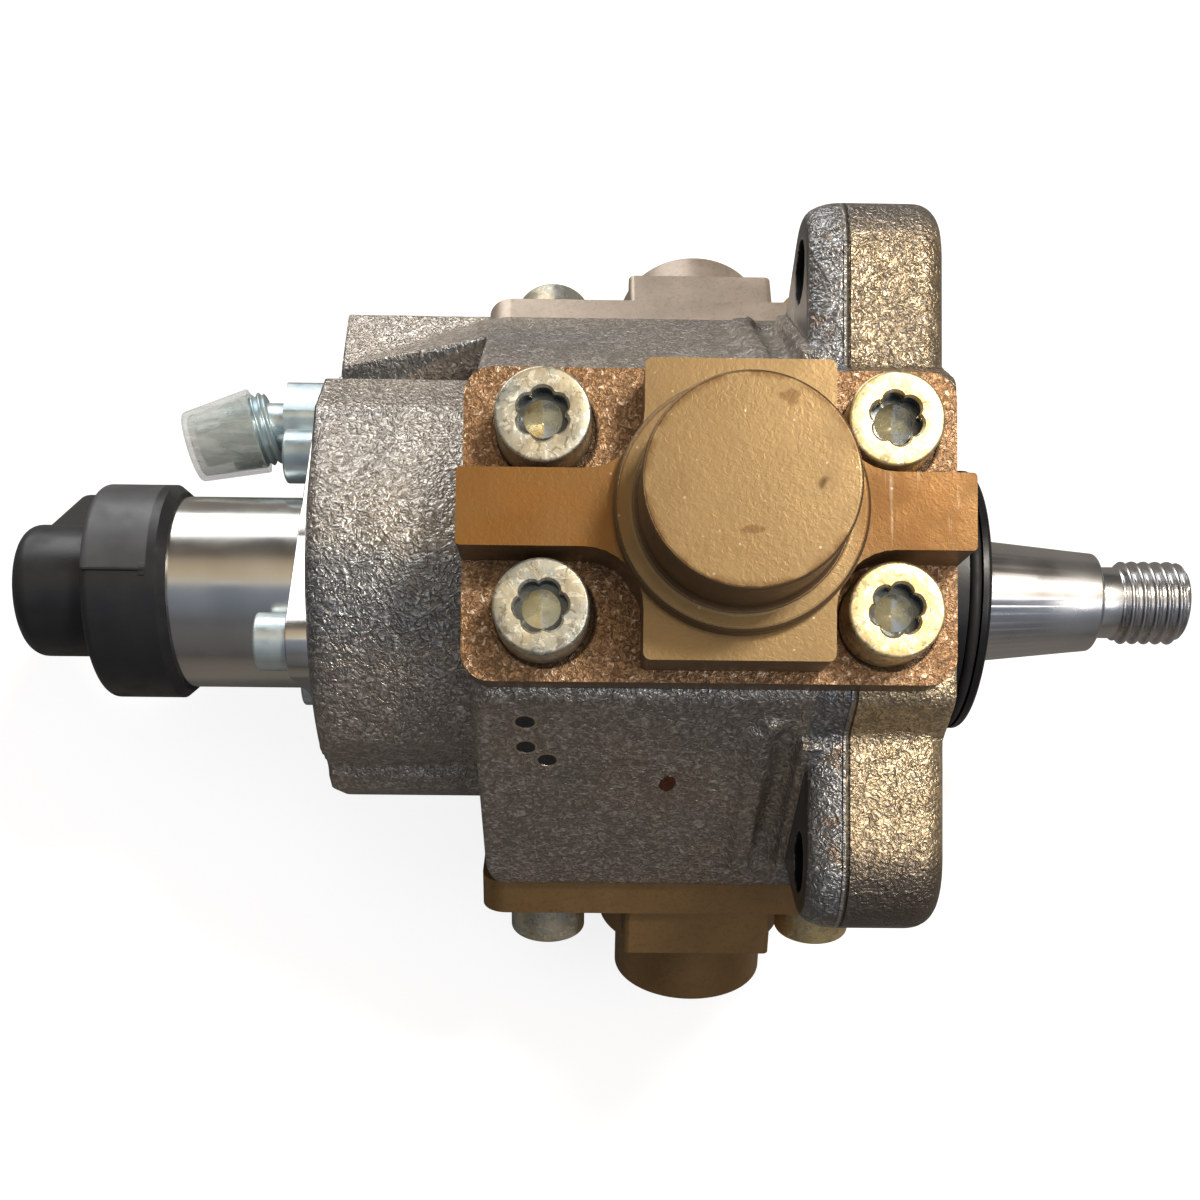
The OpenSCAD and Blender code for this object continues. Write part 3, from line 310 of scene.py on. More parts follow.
def rim_tones(s, tone, x, far, fine):
    """Tan rim with grey ear tips, painted golden light low down and painted shade at its lower end, and its
    mask.

    The drafted band behind it is blue-grey with bronze patches."""
    y = s.axis("Y")
    on_rim = s.remap(x, RIM_BACK, RIM_BACK + 0.4 * MM)
    rim = s.times(on_rim, s.remap(far, 38 * MM, 42 * MM))
    tan = s.mix(s.remap(far, 58 * MM, 62 * MM), (0.47, 0.35, 0.21), (0.25, 0.225, 0.2))
    tone = s.mix(s.times(rim, s.remap(fine, 0.3, 0.62, 0.45, 1.0)), tone, tan)
    # Painted light: the rim is painted golden low on the flange
    golden = s.times(rim, s.band(y, -32 * MM, 9 * MM, 6 * MM))
    tone = s.mix(s.times(golden, 0.7), tone, (0.78, 0.6, 0.37))
    # Painted shade: the rim's lowest end is painted dark
    low = s.times(s.remap(y, -42 * MM, -48 * MM), on_rim)
    tone = s.mix(s.times(low, 0.8), tone, (0.16, 0.13, 0.1))
    draft = s.times(s.band(x, (RIM_BACK + EAR_BACK) / 2, 2.4 * MM, 0.5 * MM), s.remap(far, 43 * MM, 45 * MM))
    tone = s.mix(s.times(draft, 0.85), tone, (0.27, 0.285, 0.31))
    bronze = s.times(draft, s.remap(s.noise(220, 3.0), 0.56, 0.64))
    return s.mix(s.times(bronze, 0.6), tone, (0.3, 0.17, 0.08)), rim


def relief_shade_highlight_and_rust(s, tone, broad, height, rim):
    """Painted shade darkens the valleys in a tint of rust and dirt, and a painted highlight brightens the
    hills away from the rim.
    """
    # Painted shade in the valleys of the relief, tinted grey to brown like dirt
    valley_shade = s.math("SUBTRACT", 1.0, s.remap(height, 0.72, 1.08))
    shade_and_grime_tone = s.mix(s.remap(broad, 0.3, 0.7), (0.13, 0.125, 0.12), (0.2, 0.155, 0.11))
    tone = s.mix(s.times(valley_shade, 0.55), tone, shade_and_grime_tone)
    # Painted highlight on the hills of the relief
    crown_highlight = s.times(s.remap(height, 1.0, 1.3), s.math("SUBTRACT", 1.0, rim))
    tone = s.mix(s.times(crown_highlight, 0.6), tone, (0.95, 0.9, 0.84))
    specks = s.remap(s.noise(900, 2.0, 0.6, 0.5), 0.66, 0.7)
    return s.mix(s.times(specks, 0.3), tone, (0.33, 0.16, 0.06))


def paint_dab(s):
    """Mask of the dab of red-brown paint on the lower block."""
    wobble = s.times(s.math("SUBTRACT", s.noise(700, 2.0), 0.5), 1.0 * MM)
    away = s.math("ADD", s.far_from((-40.4 * MM, -33.7 * MM, 24.8 * MM), (1, 0.6, 0.6)), wobble)
    return s.remap(away, 1.1 * MM, 1.3 * MM, 1.0, 0.0)


def punch_marks(s, tone):
    """Punch marks: painted shade in the pits and a painted highlight on each lip, and the mask of the pits.
    """
    near = [s.far_from(place) for place in PUNCHES]
    pits = s.highest([s.remap(d, 1.25 * MM, 1.5 * MM, 1.0, 0.0) for d in near])
    lip_highlight = s.highest([s.band(d, 1.6 * MM, 0.08 * MM, 0.2 * MM) for d in near])
    tone = s.mix(pits, tone, (0.05, 0.052, 0.056))
    return s.mix(s.times(lip_highlight, 0.7), tone, (0.6, 0.5, 0.36)), pits


def cast_skin():
    """Rough cast iron: worm-like wrinkles under an oily film, tan on the rim, blue-grey where drafted."""
    s = Surface("cast_iron_skin", (0.3, 0.28, 0.25), 0.8, 0.36)
    x = s.axis("X")
    far = s.far_from((0, 0, 0), (0, 1, 1))
    machined, rear_face, bores = machined_zones(s, x, far)
    height, fine = cast_relief(s)
    # Parting ridge round the flange, with a thin dark line beside it, painted shade in the crease
    outer = s.remap(far, 40 * MM, 42 * MM)
    ridge = s.times(s.band(x, RIM_BACK, 0.15 * MM, 0.25 * MM), outer)
    crease = s.times(s.band(x, RIM_BACK + 0.62 * MM, 0.05 * MM, 0.2 * MM), outer)

    broad = s.noise(34, 3.0, 0.6)
    tone = block_tones_and_painted_light(s, x, broad)
    tone, rim = rim_tones(s, tone, x, far, fine)
    tone = relief_shade_highlight_and_rust(s, tone, broad, height, rim)
    tone = s.mix(ridge, tone, (0.38, 0.37, 0.35))
    # Painted shade: the crease beside the ridge is painted nearly black
    tone = s.mix(s.times(crease, 0.85), tone, (0.03, 0.028, 0.026))
    tone = s.mix(machined, tone, s.mix(rear_face, (0.115, 0.118, 0.125), (0.42, 0.4, 0.38)))
    # Painted shade: the bores behind the ears' holes are painted near black
    tone = s.mix(bores, tone, (0.012, 0.012, 0.014))
    dab = paint_dab(s)
    tone = s.mix(dab, tone, (0.16, 0.05, 0.02))
    tone, pits = punch_marks(s, tone)
    s.paint(tone)
    rough = s.remap(s.noise(90, 3.0), 0.3, 0.7, 0.27, 0.4)
    s.gloss(s.math("ADD", rough, s.times(bores, 0.4)))
    cast = s.math("SUBTRACT", 1.0, s.highest([machined, bores]))
    s.bump(s.times(height, cast), 0.0003, 1.0)
    s.bump(s.math("SUBTRACT", ridge, crease), 0.0003, 0.9)
    s.bump(dab, 0.0002, 0.8)
    s.bump(s.math("SUBTRACT", 1.0, pits), 0.0006, 1.0)
    return s


def darker(color, by):
    """The colour times a factor."""
    return tuple(c * by for c in color)


def forged_body(s, up, speck, broad, arm, pad, pale, side):
    """Speckled plate, with pale specks that are painted glints, and plainer walls."""
    plate = s.mix(s.remap(speck, 0.4, 0.6), darker(pad, 0.45), pad)
    # Painted glints: pale specks on the plate
    plate = s.mix(s.times(s.remap(speck, 0.6, 0.68), 0.7), plate, pale)
    plate = s.mix(s.times(s.remap(broad, 0.45, 0.7), 0.5), plate, darker(arm, 0.8))
    wall = s.mix(s.remap(broad, 0.3, 0.7), darker(side, 0.75), side)
    wall = s.mix(s.times(s.remap(speck, 0.5, 0.66), 0.35), wall, darker(side, 0.5))
    return s.mix(up, wall, plate)


def machined_tops(s, x, broad, face, arm, pale):
    """The arms are browner than the cross block, and scratched and darker towards the drive end."""
    out = s.math("ABSOLUTE", s.math("SUBTRACT", x, BOSS_X))
    top = s.mix(s.remap(out, CROSS_HALF + 1 * MM, CROSS_HALF + 5 * MM), face, arm)
    top = s.mix(s.remap(broad, 0.35, 0.75, 0.0, 0.55), top, darker(face, 0.72))
    scratch = s.remap(s.noise(1.0, 2.0, 0.6, 0.0, s.scaled((1500, 90, 90))), 0.6, 0.7)
    top = s.mix(s.times(scratch, s.remap(x, -18 * MM, -12 * MM), 0.3), top, pale)
    return s.mix(s.remap(x, -20 * MM, -15 * MM, 0.0, 0.55), top, darker(arm, 0.4))


def boss_stains(s, color, boss, arm):
    """Small stains, a dark drop, a smear and a brown bloom along the edge, and the mask of the small ones."""
    stains = s.times(boss, s.remap(s.voronoi(95), 0.06, 0.13, 1.0, 0.0), s.remap(s.noise(300), 0.45, 0.6))
    color = s.mix(s.times(stains, 0.6), color, darker(arm, 0.35))
    # Drop and smear, as (place, squeeze, size)
    drops = (((BOSS_X + 4.5 * MM, 10.3 * MM, 0), (1, 1.2, 0), 1.1 * MM),
             ((BOSS_X - 0.4 * MM, -6.2 * MM, 0), (0.45, 1.5, 0), 0.7 * MM))
    ragged = s.times(s.math("SUBTRACT", s.noise(900, 3.0), 0.5), 2.2 * MM)
    for place, squeeze, size in drops:
        away = s.math("ADD", s.far_from(place, squeeze), ragged)
        drop = s.remap(away, size * 0.7, size * 1.3, 1.0, 0.0)
        color = s.mix(s.times(boss, drop, 0.55), color, darker(arm, 0.45))
    edge = s.remap(s.far_from((BOSS_X, 0, 0), (1, 1, 0)), 12.2 * MM, 13.4 * MM)
    bloom = s.times(boss, edge, s.remap(s.noise(260, 3.0), 0.42, 0.58))
    return s.mix(s.times(bloom, 0.7), color, darker(arm, 0.45)), stains


def forged(name, turn, face, arm, pad, pale, side):
    """Oiled head in its own frame, z out: machined boss, cross and arms over a forged plate."""
    s = Surface(name, face, 0.6, 0.4, turn)
    x, z = s.axis("X"), s.axis("Z")
    up = s.remap(s.facing("Z"), 0.8, 0.95)
    broad = s.noise(60, 3.0, 0.6)
    grain = s.noise(1100, 3.0, 0.6)
    speck = s.noise(1350, 2.0, 0.6, 1.0)
    color = forged_body(s, up, speck, broad, arm, pad, pale, side)
    high = s.times(s.remap(z, CROSS_TOP - 0.5 * MM, CROSS_TOP - 0.2 * MM), up)
    color = s.mix(high, color, machined_tops(s, x, broad, face, arm, pale))
    boss = s.times(s.remap(z, BOSS_TOP - 0.4 * MM, BOSS_TOP - 0.2 * MM), up)
    color = s.mix(s.times(boss, 0.35), color, darker(face, 0.85))
    color, stains = boss_stains(s, color, boss, arm)
    flecks = s.times(high, s.remap(s.voronoi(420), 0.05, 0.09, 1.0, 0.0))
    color = s.mix(s.times(flecks, 0.6), color, (0.6, 0.5, 0.36))
    # Painted shade: a dark ring round each bolt, as the shaded clearance of a counterbore would look
    gap_shade = s.near_bolts(7.0 * MM, 0.3 * MM, shift=0.45 * MM)
    gap_shade = s.times(gap_shade, s.remap(z, PLATE_TOP + 1.5 * MM, PLATE_TOP + 1.9 * MM, 1.0, 0.0))
    color = s.mix(s.times(gap_shade, 0.9), color, darker(arm, 0.12))
    s.paint(color)
    s.gloss(s.math("ADD", s.remap(s.noise(160, 3.0), 0.3, 0.7, 0.34, 0.46), s.times(stains, 0.2)))
    relief = s.math("ADD", speck, s.times(grain, 0.3))
    soft = s.remap(s.math("MAXIMUM", high, s.math("SUBTRACT", 1.0, up)), 0.0, 1.0, 1.0, 0.12)
    s.bump(s.times(relief, soft), 0.00022, 1.0)
    s.bump(s.times(grain, high), 0.000014, 0.6)
    return s


def steel(name, color=(0.6, 0.6, 0.6), rough=0.28, turned=None):
    """Bright steel, with fine turning lines across an axis if asked for."""
    s = Surface(name, color, 1.0, rough)
    if turned is not None:
        scale = [6.0, 6.0, 6.0]
        scale[turned] = 2600.0
        lines = s.noise(1.0, 2.0, 0.6, 0.0, s.scaled(scale))
        s.bump(lines, 0.000012, 0.5)
    s.gloss(s.remap(s.noise(120, 3.0), 0.3, 0.7, rough * 0.8, rough * 1.25))
    s.paint(s.mix(s.remap(s.noise(60, 3.0), 0.3, 0.7), darker(color, 0.86), color))
    return s


def zinc(name, color, cool, scuffs=0.0, gold=None, turn=0.0):
    """Passivated zinc, golden at the drive end if asked for. With scuffs, a worn screw whose socket is worn
    through its coating and painted with light and shade.
    """
    s = Surface(name, color, 0.8, 0.36, turn)
    tone = s.mix(s.remap(s.noise(170, 3.0, 0.6, 0.4), 0.38, 0.62), cool, color)
    rough = s.remap(s.noise(420, 3.0), 0.3, 0.7, 0.28, 0.46)
    if gold:
        tone = s.mix(s.remap(s.axis("X"), -40 * MM, -25 * MM), tone, gold)
    if scuffs:
        marks = s.remap(s.noise(560, 3.0, 0.7, 1.5), 0.55, 0.59)
        tone = s.mix(s.times(marks, scuffs), tone, (0.95, 0.9, 0.76))
        dirt = s.remap(s.noise(700, 3.0, 0.7, 1.0), 0.56, 0.62)
        tone = s.mix(s.times(dirt, scuffs), tone, darker(color, 0.3))
        socket = s.near_bolts(3.7 * MM, 0.12 * MM)
        socket = s.times(socket, s.remap(s.axis("Z"), BOLT_TOP - 0.5 * MM, BOLT_TOP - 0.3 * MM, 1.0, 0.0))
        cone = s.near_bolts(2.55 * MM, 0.12 * MM)
        # The socket is worn through its coating and painted with light and shade: its cone is painted half
        # yellow and half blue-white by the way it faces, and the lobes round it are painted dark
        socket_light_and_shade = s.mix(s.remap(s.facing("X"), -0.15, 0.2), (0.85, 0.9, 0.92), (0.7, 0.57, 0.3))
        socket_light_and_shade = s.mix(cone, (0.1, 0.11, 0.11), socket_light_and_shade)
        tone = s.mix(socket, tone, socket_light_and_shade)
        rough = s.math("SUBTRACT", rough, s.times(socket, 0.14))
    s.paint(tone)
    s.gloss(rough)
    s.bump(s.noise(1200), 0.00004 + 0.00004 * scuffs, 0.5)
    return s


def plastic(name, color, rough=0.45, painted_upper_light=None):
    """Moulded plastic or rubber with a fine grain."""
    s = Surface(name, color, 0.0, rough)
    s.gloss(s.remap(s.noise(260, 3.0), 0.3, 0.7, rough * 0.8, rough * 1.2))
    s.bump(s.noise(2600), 0.00002, 0.5)
    light = tuple(min(1, c * 1.35 + 0.003) for c in color)
    tone = s.mix(s.remap(s.noise(45, 3.0), 0.3, 0.7), color, light)
    if painted_upper_light:
        # Painted light: the upper half of the collar, above its mould line, is painted grey
        collar = s.band(s.axis("X"), COLLAR_X + 5.4 * MM, 5.2 * MM, 0.3 * MM)
        upper = s.remap(s.axis("Y"), 0.1 * MM, 0.5 * MM)
        tone = s.mix(s.times(upper, collar, s.remap(s.noise(90, 3.0), 0.25, 0.6, 0.6, 1.0)), tone, painted_upper_light)
    s.paint(tone)
    return s


def clear_cap():
    """Translucent plastic of the protective cap, streaked along its length."""
    s = Surface("clear_plastic", (0.62, 0.66, 0.62), 0.0, 0.25, Alpha=0.42)
    s.bump(s.noise(700, 3.0), 0.00005, 0.5)
    streaks = s.noise(1.0, 3.0, 0.6, 0.5, s.scaled((120, 520, 520), turn=(0, 0, math.radians(-15))))
    s.paint(s.mix(s.remap(streaks, 0.35, 0.65), (0.42, 0.46, 0.43), (0.74, 0.77, 0.73)))
    return s


SKIN = cast_skin()
HEADS = {
    "a": forged("forged_head_front", head_turn("a"), face=(0.31, 0.2, 0.085), arm=(0.27, 0.115, 0.02),
                pad=(0.44, 0.25, 0.125), pale=(0.9, 0.78, 0.62), side=(0.24, 0.15, 0.08)),
    "b": forged("forged_head_upper", head_turn("b"), face=(0.46, 0.36, 0.28), arm=(0.4, 0.32, 0.26),
                pad=(0.38, 0.31, 0.26), pale=(0.6, 0.54, 0.5), side=(0.56, 0.46, 0.37)),
    # The lower head's darker plate is painted shade: a shaded copy of the same forging
    "c": forged("forged_head_lower", head_turn("c"), face=(0.4, 0.23, 0.1), arm=(0.3, 0.16, 0.06),
                pad=(0.2, 0.12, 0.07), pale=(0.4, 0.3, 0.2), side=(0.34, 0.2, 0.08)),
}
SHAFT = steel("ground_steel", (0.66, 0.65, 0.65), 0.27, 0)
CAN = steel("turned_steel", (0.72, 0.7, 0.66), 0.2, 0)
INNER = steel("hard_steel", (0.45, 0.46, 0.48), 0.3)
BRONZE = steel("bronze", (0.55, 0.36, 0.16), 0.35)
COPPER = steel("wound_copper", (0.5, 0.2, 0.08), 0.35, 0)
BOLTS = {}
for k, scuffs in (("a", 0.6), ("b", 0.35), ("c", 0.35)):
    BOLTS[k] = zinc("zinc_yellow_" + k, (0.58, 0.51, 0.36), (0.46, 0.47, 0.42), scuffs,
                    gold=(0.74, 0.57, 0.28), turn=head_turn(k))
FITTING = zinc("zinc_blue", (0.66, 0.74, 0.74), (0.55, 0.66, 0.7))
BLACK = plastic("black_ring", (0.004, 0.004, 0.005), 0.36)
COVER = plastic("black_plastic", (0.013, 0.0135, 0.015), 0.42, (0.085, 0.087, 0.093))
RUBBER = plastic("rubber", (0.012, 0.012, 0.012), 0.62)
CLEAR = clear_cap()

LOOKS = {
    "pump_housing": SKIN, "bearing_flange": BLACK, "pilot_o_ring": RUBBER, "front_bearing_bush": BRONZE,
    "rear_bearing_bush": BRONZE, "shaft_seal": RUBBER, "drive_shaft": SHAFT, "polygon_ring": INNER,
    "ring_bush": BRONZE, "metering_body": CAN, "metering_cover": COVER, "metering_terminals": BRONZE,
    "metering_screws": FITTING, "metering_o_ring": RUBBER, "metering_coil": COPPER, "metering_sleeve": INNER,
    "metering_piston": INNER, "metering_spring": INNER, "inlet_fitting": FITTING, "inlet_washer": RUBBER,
    "inlet_cap": CLEAR, "sealing_balls": INNER, "outlet_fitting": FITTING, "overflow_plug": FITTING,
    "overflow_piston": INNER, "overflow_spring": INNER,
}
INNER_PIECES = ("barrel_", "plunger_", "foot_plate_", "plunger_spring_", "inlet_valve_", "inlet_spring_",
                "outlet_ball_", "outlet_spring_")
for k, surface in HEADS.items():
    LOOKS.update({"cylinder_head_" + k: surface, "head_bolts_" + k: BOLTS[k], "head_o_ring_" + k: RUBBER})
    LOOKS.update({piece + k: INNER for piece in INNER_PIECES})
for name, node in nodes.items():
    dress(node, LOOKS[name])


# Mesh helpers

def new_object(name, mesh=None):
    """An object in the scene, empty or with the mesh."""
    obj = bpy.data.objects.new(name, mesh or bpy.data.meshes.new(name))
    scene.collection.objects.link(obj)
    return obj


def apply_modifiers(obj):
    """Turns the result of the modifiers into the object's own mesh."""
    bpy.context.view_layer.update()
    dg = bpy.context.evaluated_depsgraph_get()
    mesh = bpy.data.meshes.new_from_object(obj.evaluated_get(dg))
    obj.modifiers.clear()
    obj.data = mesh


def smooth(obj, angle=None):
    """Smooth shading, with edges sharper than the angle in degrees kept sharp."""
    for p in obj.data.polygons:
        p.use_smooth = True
    if angle is not None:
        obj.data.set_sharp_from_angle(angle=math.radians(angle))


def welded(node):
    """The mesh of a CAD node as a bmesh, with its corners joined and its flat faces whole."""
    bm = bmesh.new()
    bm.from_mesh(nodes[node].data)
    bmesh.ops.remove_doubles(bm, verts=bm.verts, dist=2e-6)
    bmesh.ops.dissolve_limit(bm, angle_limit=math.radians(0.5), verts=bm.verts, edges=bm.edges)
    return bm


def into(obj, bm):
    """Moves a bmesh into the object."""
    bm.to_mesh(obj.data)
    bm.free()


def settled(obj, surface, body, node):
    """Dresses the piece and lets it stand for a CAD node."""
    dress(obj, surface)
    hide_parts(node)
    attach(obj, body)


def bevelled(obj, width):
    """Small rounded edges, with shading weighted to the large faces."""
    m = obj.modifiers.new("edges", "BEVEL")
    m.width = width
    m.segments = 2
    m.limit_method = "ANGLE"
    m.angle_limit = math.radians(28)
    m.use_clamp_overlap = True
    m.miter_outer = "MITER_ARC"
    smooth(obj)
    w = obj.modifiers.new("shade", "WEIGHTED_NORMAL")
    w.keep_sharp = False
    apply_modifiers(obj)


# Pieces

def add_loft(bm, outline_a, xa, outline_b, xb):
    """Adds a solid between two outlines of (y, z) places in millimetres, with as many points each."""
    ends = [[bm.verts.new((x, y * MM, z * MM)) for y, z in points]
            for points, x in ((outline_a, xa), (outline_b, xb))]
    faces = [bm.faces.new(ends[0]), bm.faces.new(reversed(ends[1]))]
    for i in range(len(outline_a)):
        j = (i + 1) % len(outline_a)
        faces.append(bm.faces.new((ends[0][j], ends[0][i], ends[1][i], ends[1][j])))
    bmesh.ops.recalc_face_normals(bm, faces=faces)


def add_prism(bm, points, x0, x1):
    """Adds a straight solid with one outline from x0 to x1."""
    add_loft(bm, points, x0, points, x1)


def add_bar(bm, angle, x, out, r, length):
    """Adds a round bar beside an ear, at x and at a distance out from the shaft, along the block's side."""
    place = Matrix.Rotation(math.radians(angle), 4, "X") @ Matrix.Translation((x, 0, out))
    bmesh.ops.create_cone(bm, cap_ends=True, segments=24, radius1=r, radius2=r, depth=length,
                          matrix=place @ Matrix.Rotation(math.radians(90), 4, "X"))


def combine(obj, operation, add, *args):
    """A boolean step with a second solid, which one of the add functions makes from the arguments."""
    bm = bmesh.new()
    add(bm, *args)
    other = new_object("form")
    into(other, bm)
    m = obj.modifiers.new("form", "BOOLEAN")
    m.operation = operation
    m.solver = "EXACT"
    m.object = other
    apply_modifiers(obj)
    bpy.data.objects.remove(other)


def shape_drum(obj):
    """Behind the block, slopes the ridge down from the block's flank and gives the drum its narrow ledge."""
    x0, x1 = REAR + 0.4 * MM, BLOCK_BACK
    past = 1 * MM
    # The sections share the ridge's outer side and differ where its face meets the drum
    side = [(50, -22), (40, -30)]
    ridge = [(20, -24), (20, -1), (31.5, -0.3), (38.5, -0.3), (49.2, -8.5), (50.8, -12)] + side
    flank = [(20, -24), (20, -1), (31.5, 8), (38.3, 16.4), (48.9, -1.8), (50.6, -9)] + side
    brow = [(20, -24), (20, -1), (31.5, -0.3), (38.5, 2.2), (50.0, -4.4), (50.9, -10)] + side
    over = [(31.5, 40), (31.5, -0.3), (38.5, -0.3), (60, -16.8), (60, 40)]
    under = [(-27.6, 30), (-27.6, 18.5), (-29.6, 7.5), (-31.6, 6), (-33.4, 2.5), (-33.2, -12), (-27, -24),
             (-25, -36), (-50, -36), (-50, 30)]
    combine(obj, "UNION", add_prism, ridge, x0, x1 + past)
    combine(obj, "DIFFERENCE", add_prism, over, REAR - past, x1)
    combine(obj, "DIFFERENCE", add_prism, under, REAR - past, x1)
    combine(obj, "UNION", add_loft, brow, x0, flank, x1 + 0.6 * MM)


def fill_marks(obj):
    """Plugs the marks of the CAD model; the material shows them where the photo does."""
    half, deep = 1.5, 3.0
    tilt = math.radians(60)
    in_y, in_z = deep * math.sin(tilt), -deep * math.cos(tilt)
    side_y, side_z = half * math.cos(tilt), half * math.sin(tilt)
    for step in range(3):
        x, y, z = (start + step * by for start, by in zip(CAD_MARK, CAD_MARK_STEP))
        plug = [(y + in_y - side_y, z + in_z - side_z), (y + in_y + side_y, z + in_z + side_z),
                (y + side_y, z + side_z), (y - side_y, z - side_z)]
        combine(obj, "UNION", add_prism, plug, (x - half) * MM, (x + half) * MM)


def ear_ribs(obj):
    """A round rib beside each ear, with a groove between it and the ear's lobe."""
    # Each is a bar, as (x, distance from the shaft, radius, length)
    rib = (-27.6 * MM, 40.9 * MM, 2.1 * MM, 38 * MM)
    groove = (-23.8 * MM, 43.0 * MM, 2.2 * MM, 37 * MM)
    for angle in EAR_ANGLES:
        combine(obj, "UNION", add_bar, angle, *rib)
        combine(obj, "DIFFERENCE", add_bar, angle, *groove)


def housing():
    """The casting: remeshed and relaxed, so that its corners and creases get the soft radii of a casting."""
    obj = new_object("cast_housing")
    into(obj, welded("pump_housing"))
    shape_drum(obj)
    fill_marks(obj)
    ear_ribs(obj)
    m = obj.modifiers.new("remesh", "REMESH")
    m.mode = "VOXEL"
    m.voxel_size = 0.5 * MM
    apply_modifiers(obj)
    m = obj.modifiers.new("relax", "SMOOTH")
    m.factor = 0.5
    m.iterations = 6
    apply_modifiers(obj)
    smooth(obj)
    settled(obj, SKIN, "housing", "pump_housing")


def screw_rows(spin):
    """Outline of a screw from its foot over the head and down the socket, as rows of (radius, height)."""
    around, head_r, shank_r, length = 96, 6.5 * MM, 4.0 * MM, 15.9 * MM
    wide, narrow, depth = 3.6 * MM, 2.75 * MM, 2.4 * MM
    edge, chamfer, arc_steps = 0.45 * MM, 0.3 * MM, 4
    foot, floor = BOLT_SEAT - length, BOLT_TOP - depth
    turned = [(0, foot), (shank_r - 0.8 * MM, foot), (shank_r, foot + 0.8 * MM), (shank_r, BOLT_SEAT),
              (head_r - chamfer, BOLT_SEAT), (head_r, BOLT_SEAT + chamfer)]
    for i in range(arc_steps + 1):
        a = math.pi / 2 * i / arc_steps
        turned.append((head_r - edge * (1 - math.cos(a)), BOLT_TOP - edge * (1 - math.sin(a))))
    rows = [[(r, z)] * around for r, z in turned]
    # Each row of the socket is round or lobed, set in by an amount, at a height
    socket = [(False, -1.05 * MM, BOLT_TOP), (True, -0.35 * MM, BOLT_TOP - 0.05 * MM),
              (True, 0.0, BOLT_TOP - 0.4 * MM), (True, 0.02 * MM, floor),
              (False, 0.95 * MM, floor - 0.05 * MM), (False, 1.05 * MM, floor - 0.2 * MM),
              (False, 3.4 * MM, floor - 2.0 * MM)]
    for lobed, inset, z in socket:
        row = []
        for n in range(around):
            lobe = abs(math.cos(3 * (2 * math.pi * n / around + spin))) ** 0.5
            outline = narrow + (wide - narrow) * lobe if lobed else wide
            row.append((outline - inset, z))
        rows.append(row)
    return rows, floor - 2.3 * MM


def add_screw(bm, place, spin):
    """Adds a screw on an axis, closed by the tip of its socket's pointed floor."""
    rows, tip_z = screw_rows(spin)
    around = len(rows[0])
    turns = [(math.cos(2 * math.pi * n / around), math.sin(2 * math.pi * n / around)) for n in range(around)]
    rings = [[bm.verts.new(place + Vector((r * c, r * d, z))) for (r, z), (c, d) in zip(row, turns)]
             for row in rows]
    for a, b in zip(rings, rings[1:]):
        for n in range(around):
            m = (n + 1) % around
            bm.faces.new((a[n], a[m], b[m], b[n]))
    tip = bm.verts.new(place + Vector((0, 0, tip_z)))
    for n in range(around):
        bm.faces.new((rings[-1][n], rings[-1][(n + 1) % around], tip))


def lobed_bolts(k):
    """Four screws with a six-lobed socket: wide lobes and narrow cusps over a pointed floor."""
    obj = new_object("lobed_bolts_" + k)
    bm = bmesh.new()
    # Each screw has stopped at its own angle, in radians
    stops = (-0.1, 0.5, -0.25, 0.35)
    for (x, y), spin in zip(bolt_places(), stops):
        add_screw(bm, Vector((x, y, 0)), spin)
    bmesh.ops.remove_doubles(bm, verts=bm.verts, dist=1e-6)
    bmesh.ops.recalc_face_normals(bm, faces=bm.faces)
    bmesh.ops.transform(bm, matrix=Matrix.Rotation(-head_turn(k), 4, "X"), verts=bm.verts)
    into(obj, bm)
    smooth(obj, 35)
    settled(obj, BOLTS[k], "housing", "head_bolts_" + k)


def thread_mesh(bm, x0, x1, crest, root, core, pitch, lead0, lead1, matrix):
    """Adds a threaded tube between two stations: a helix as a height field, running out at both ends."""
    around, rows_per_turn = 72, 14
    count = round((x1 - x0) / pitch * rows_per_turn)
    rows = []
    for i in range(count + 1):
        x = x0 + (x1 - x0) * i / count
        row = []
        for j in range(around):
            phase = ((x - x0) / pitch - j / around) % 1.0
            wave = (0.5 - 0.5 * math.cos(2 * math.pi * phase)) ** 0.8
            r = min(root + (crest - root) * wave, core + (x - x0) / lead0 * (crest - core),
                    core + (x1 - x) / lead1 * (crest - core))
            a = 2 * math.pi * j / around
            row.append(bm.verts.new(matrix @ Vector((x, r * math.cos(a), r * math.sin(a)))))
        rows.append(row)
    for a, b in zip(rows, rows[1:]):
        for j in range(around):
            bm.faces.new((a[j], b[j], b[(j + 1) % around], a[(j + 1) % around]))


def threaded(node, name, surface, body, matrix, x0, x1, crest, pitch, lead0, lead1, join=0.0):
    """A copy of a CAD node whose plain thread is thinned to a core, with a real helix round it."""
    root = crest - 0.5 * pitch
    core = root - 0.15 * MM
    bm = welded(node)
    bmesh.ops.transform(bm, matrix=matrix.inverted(), verts=bm.verts)
    for v in bm.verts:
        r = math.hypot(v.co.y, v.co.z)
        if x0 + join < v.co.x < x1 + 1e-5 and core < r < crest + 0.2 * MM:
            v.co.y *= core / r
            v.co.z *= core / r
    bmesh.ops.transform(bm, matrix=matrix, verts=bm.verts)
    thread_mesh(bm, x0, x1, crest, root, core, pitch, lead0, lead1, matrix)
    obj = new_object(name)
    into(obj, bm)
    smooth(obj, 32)
    settled(obj, surface, body, node)


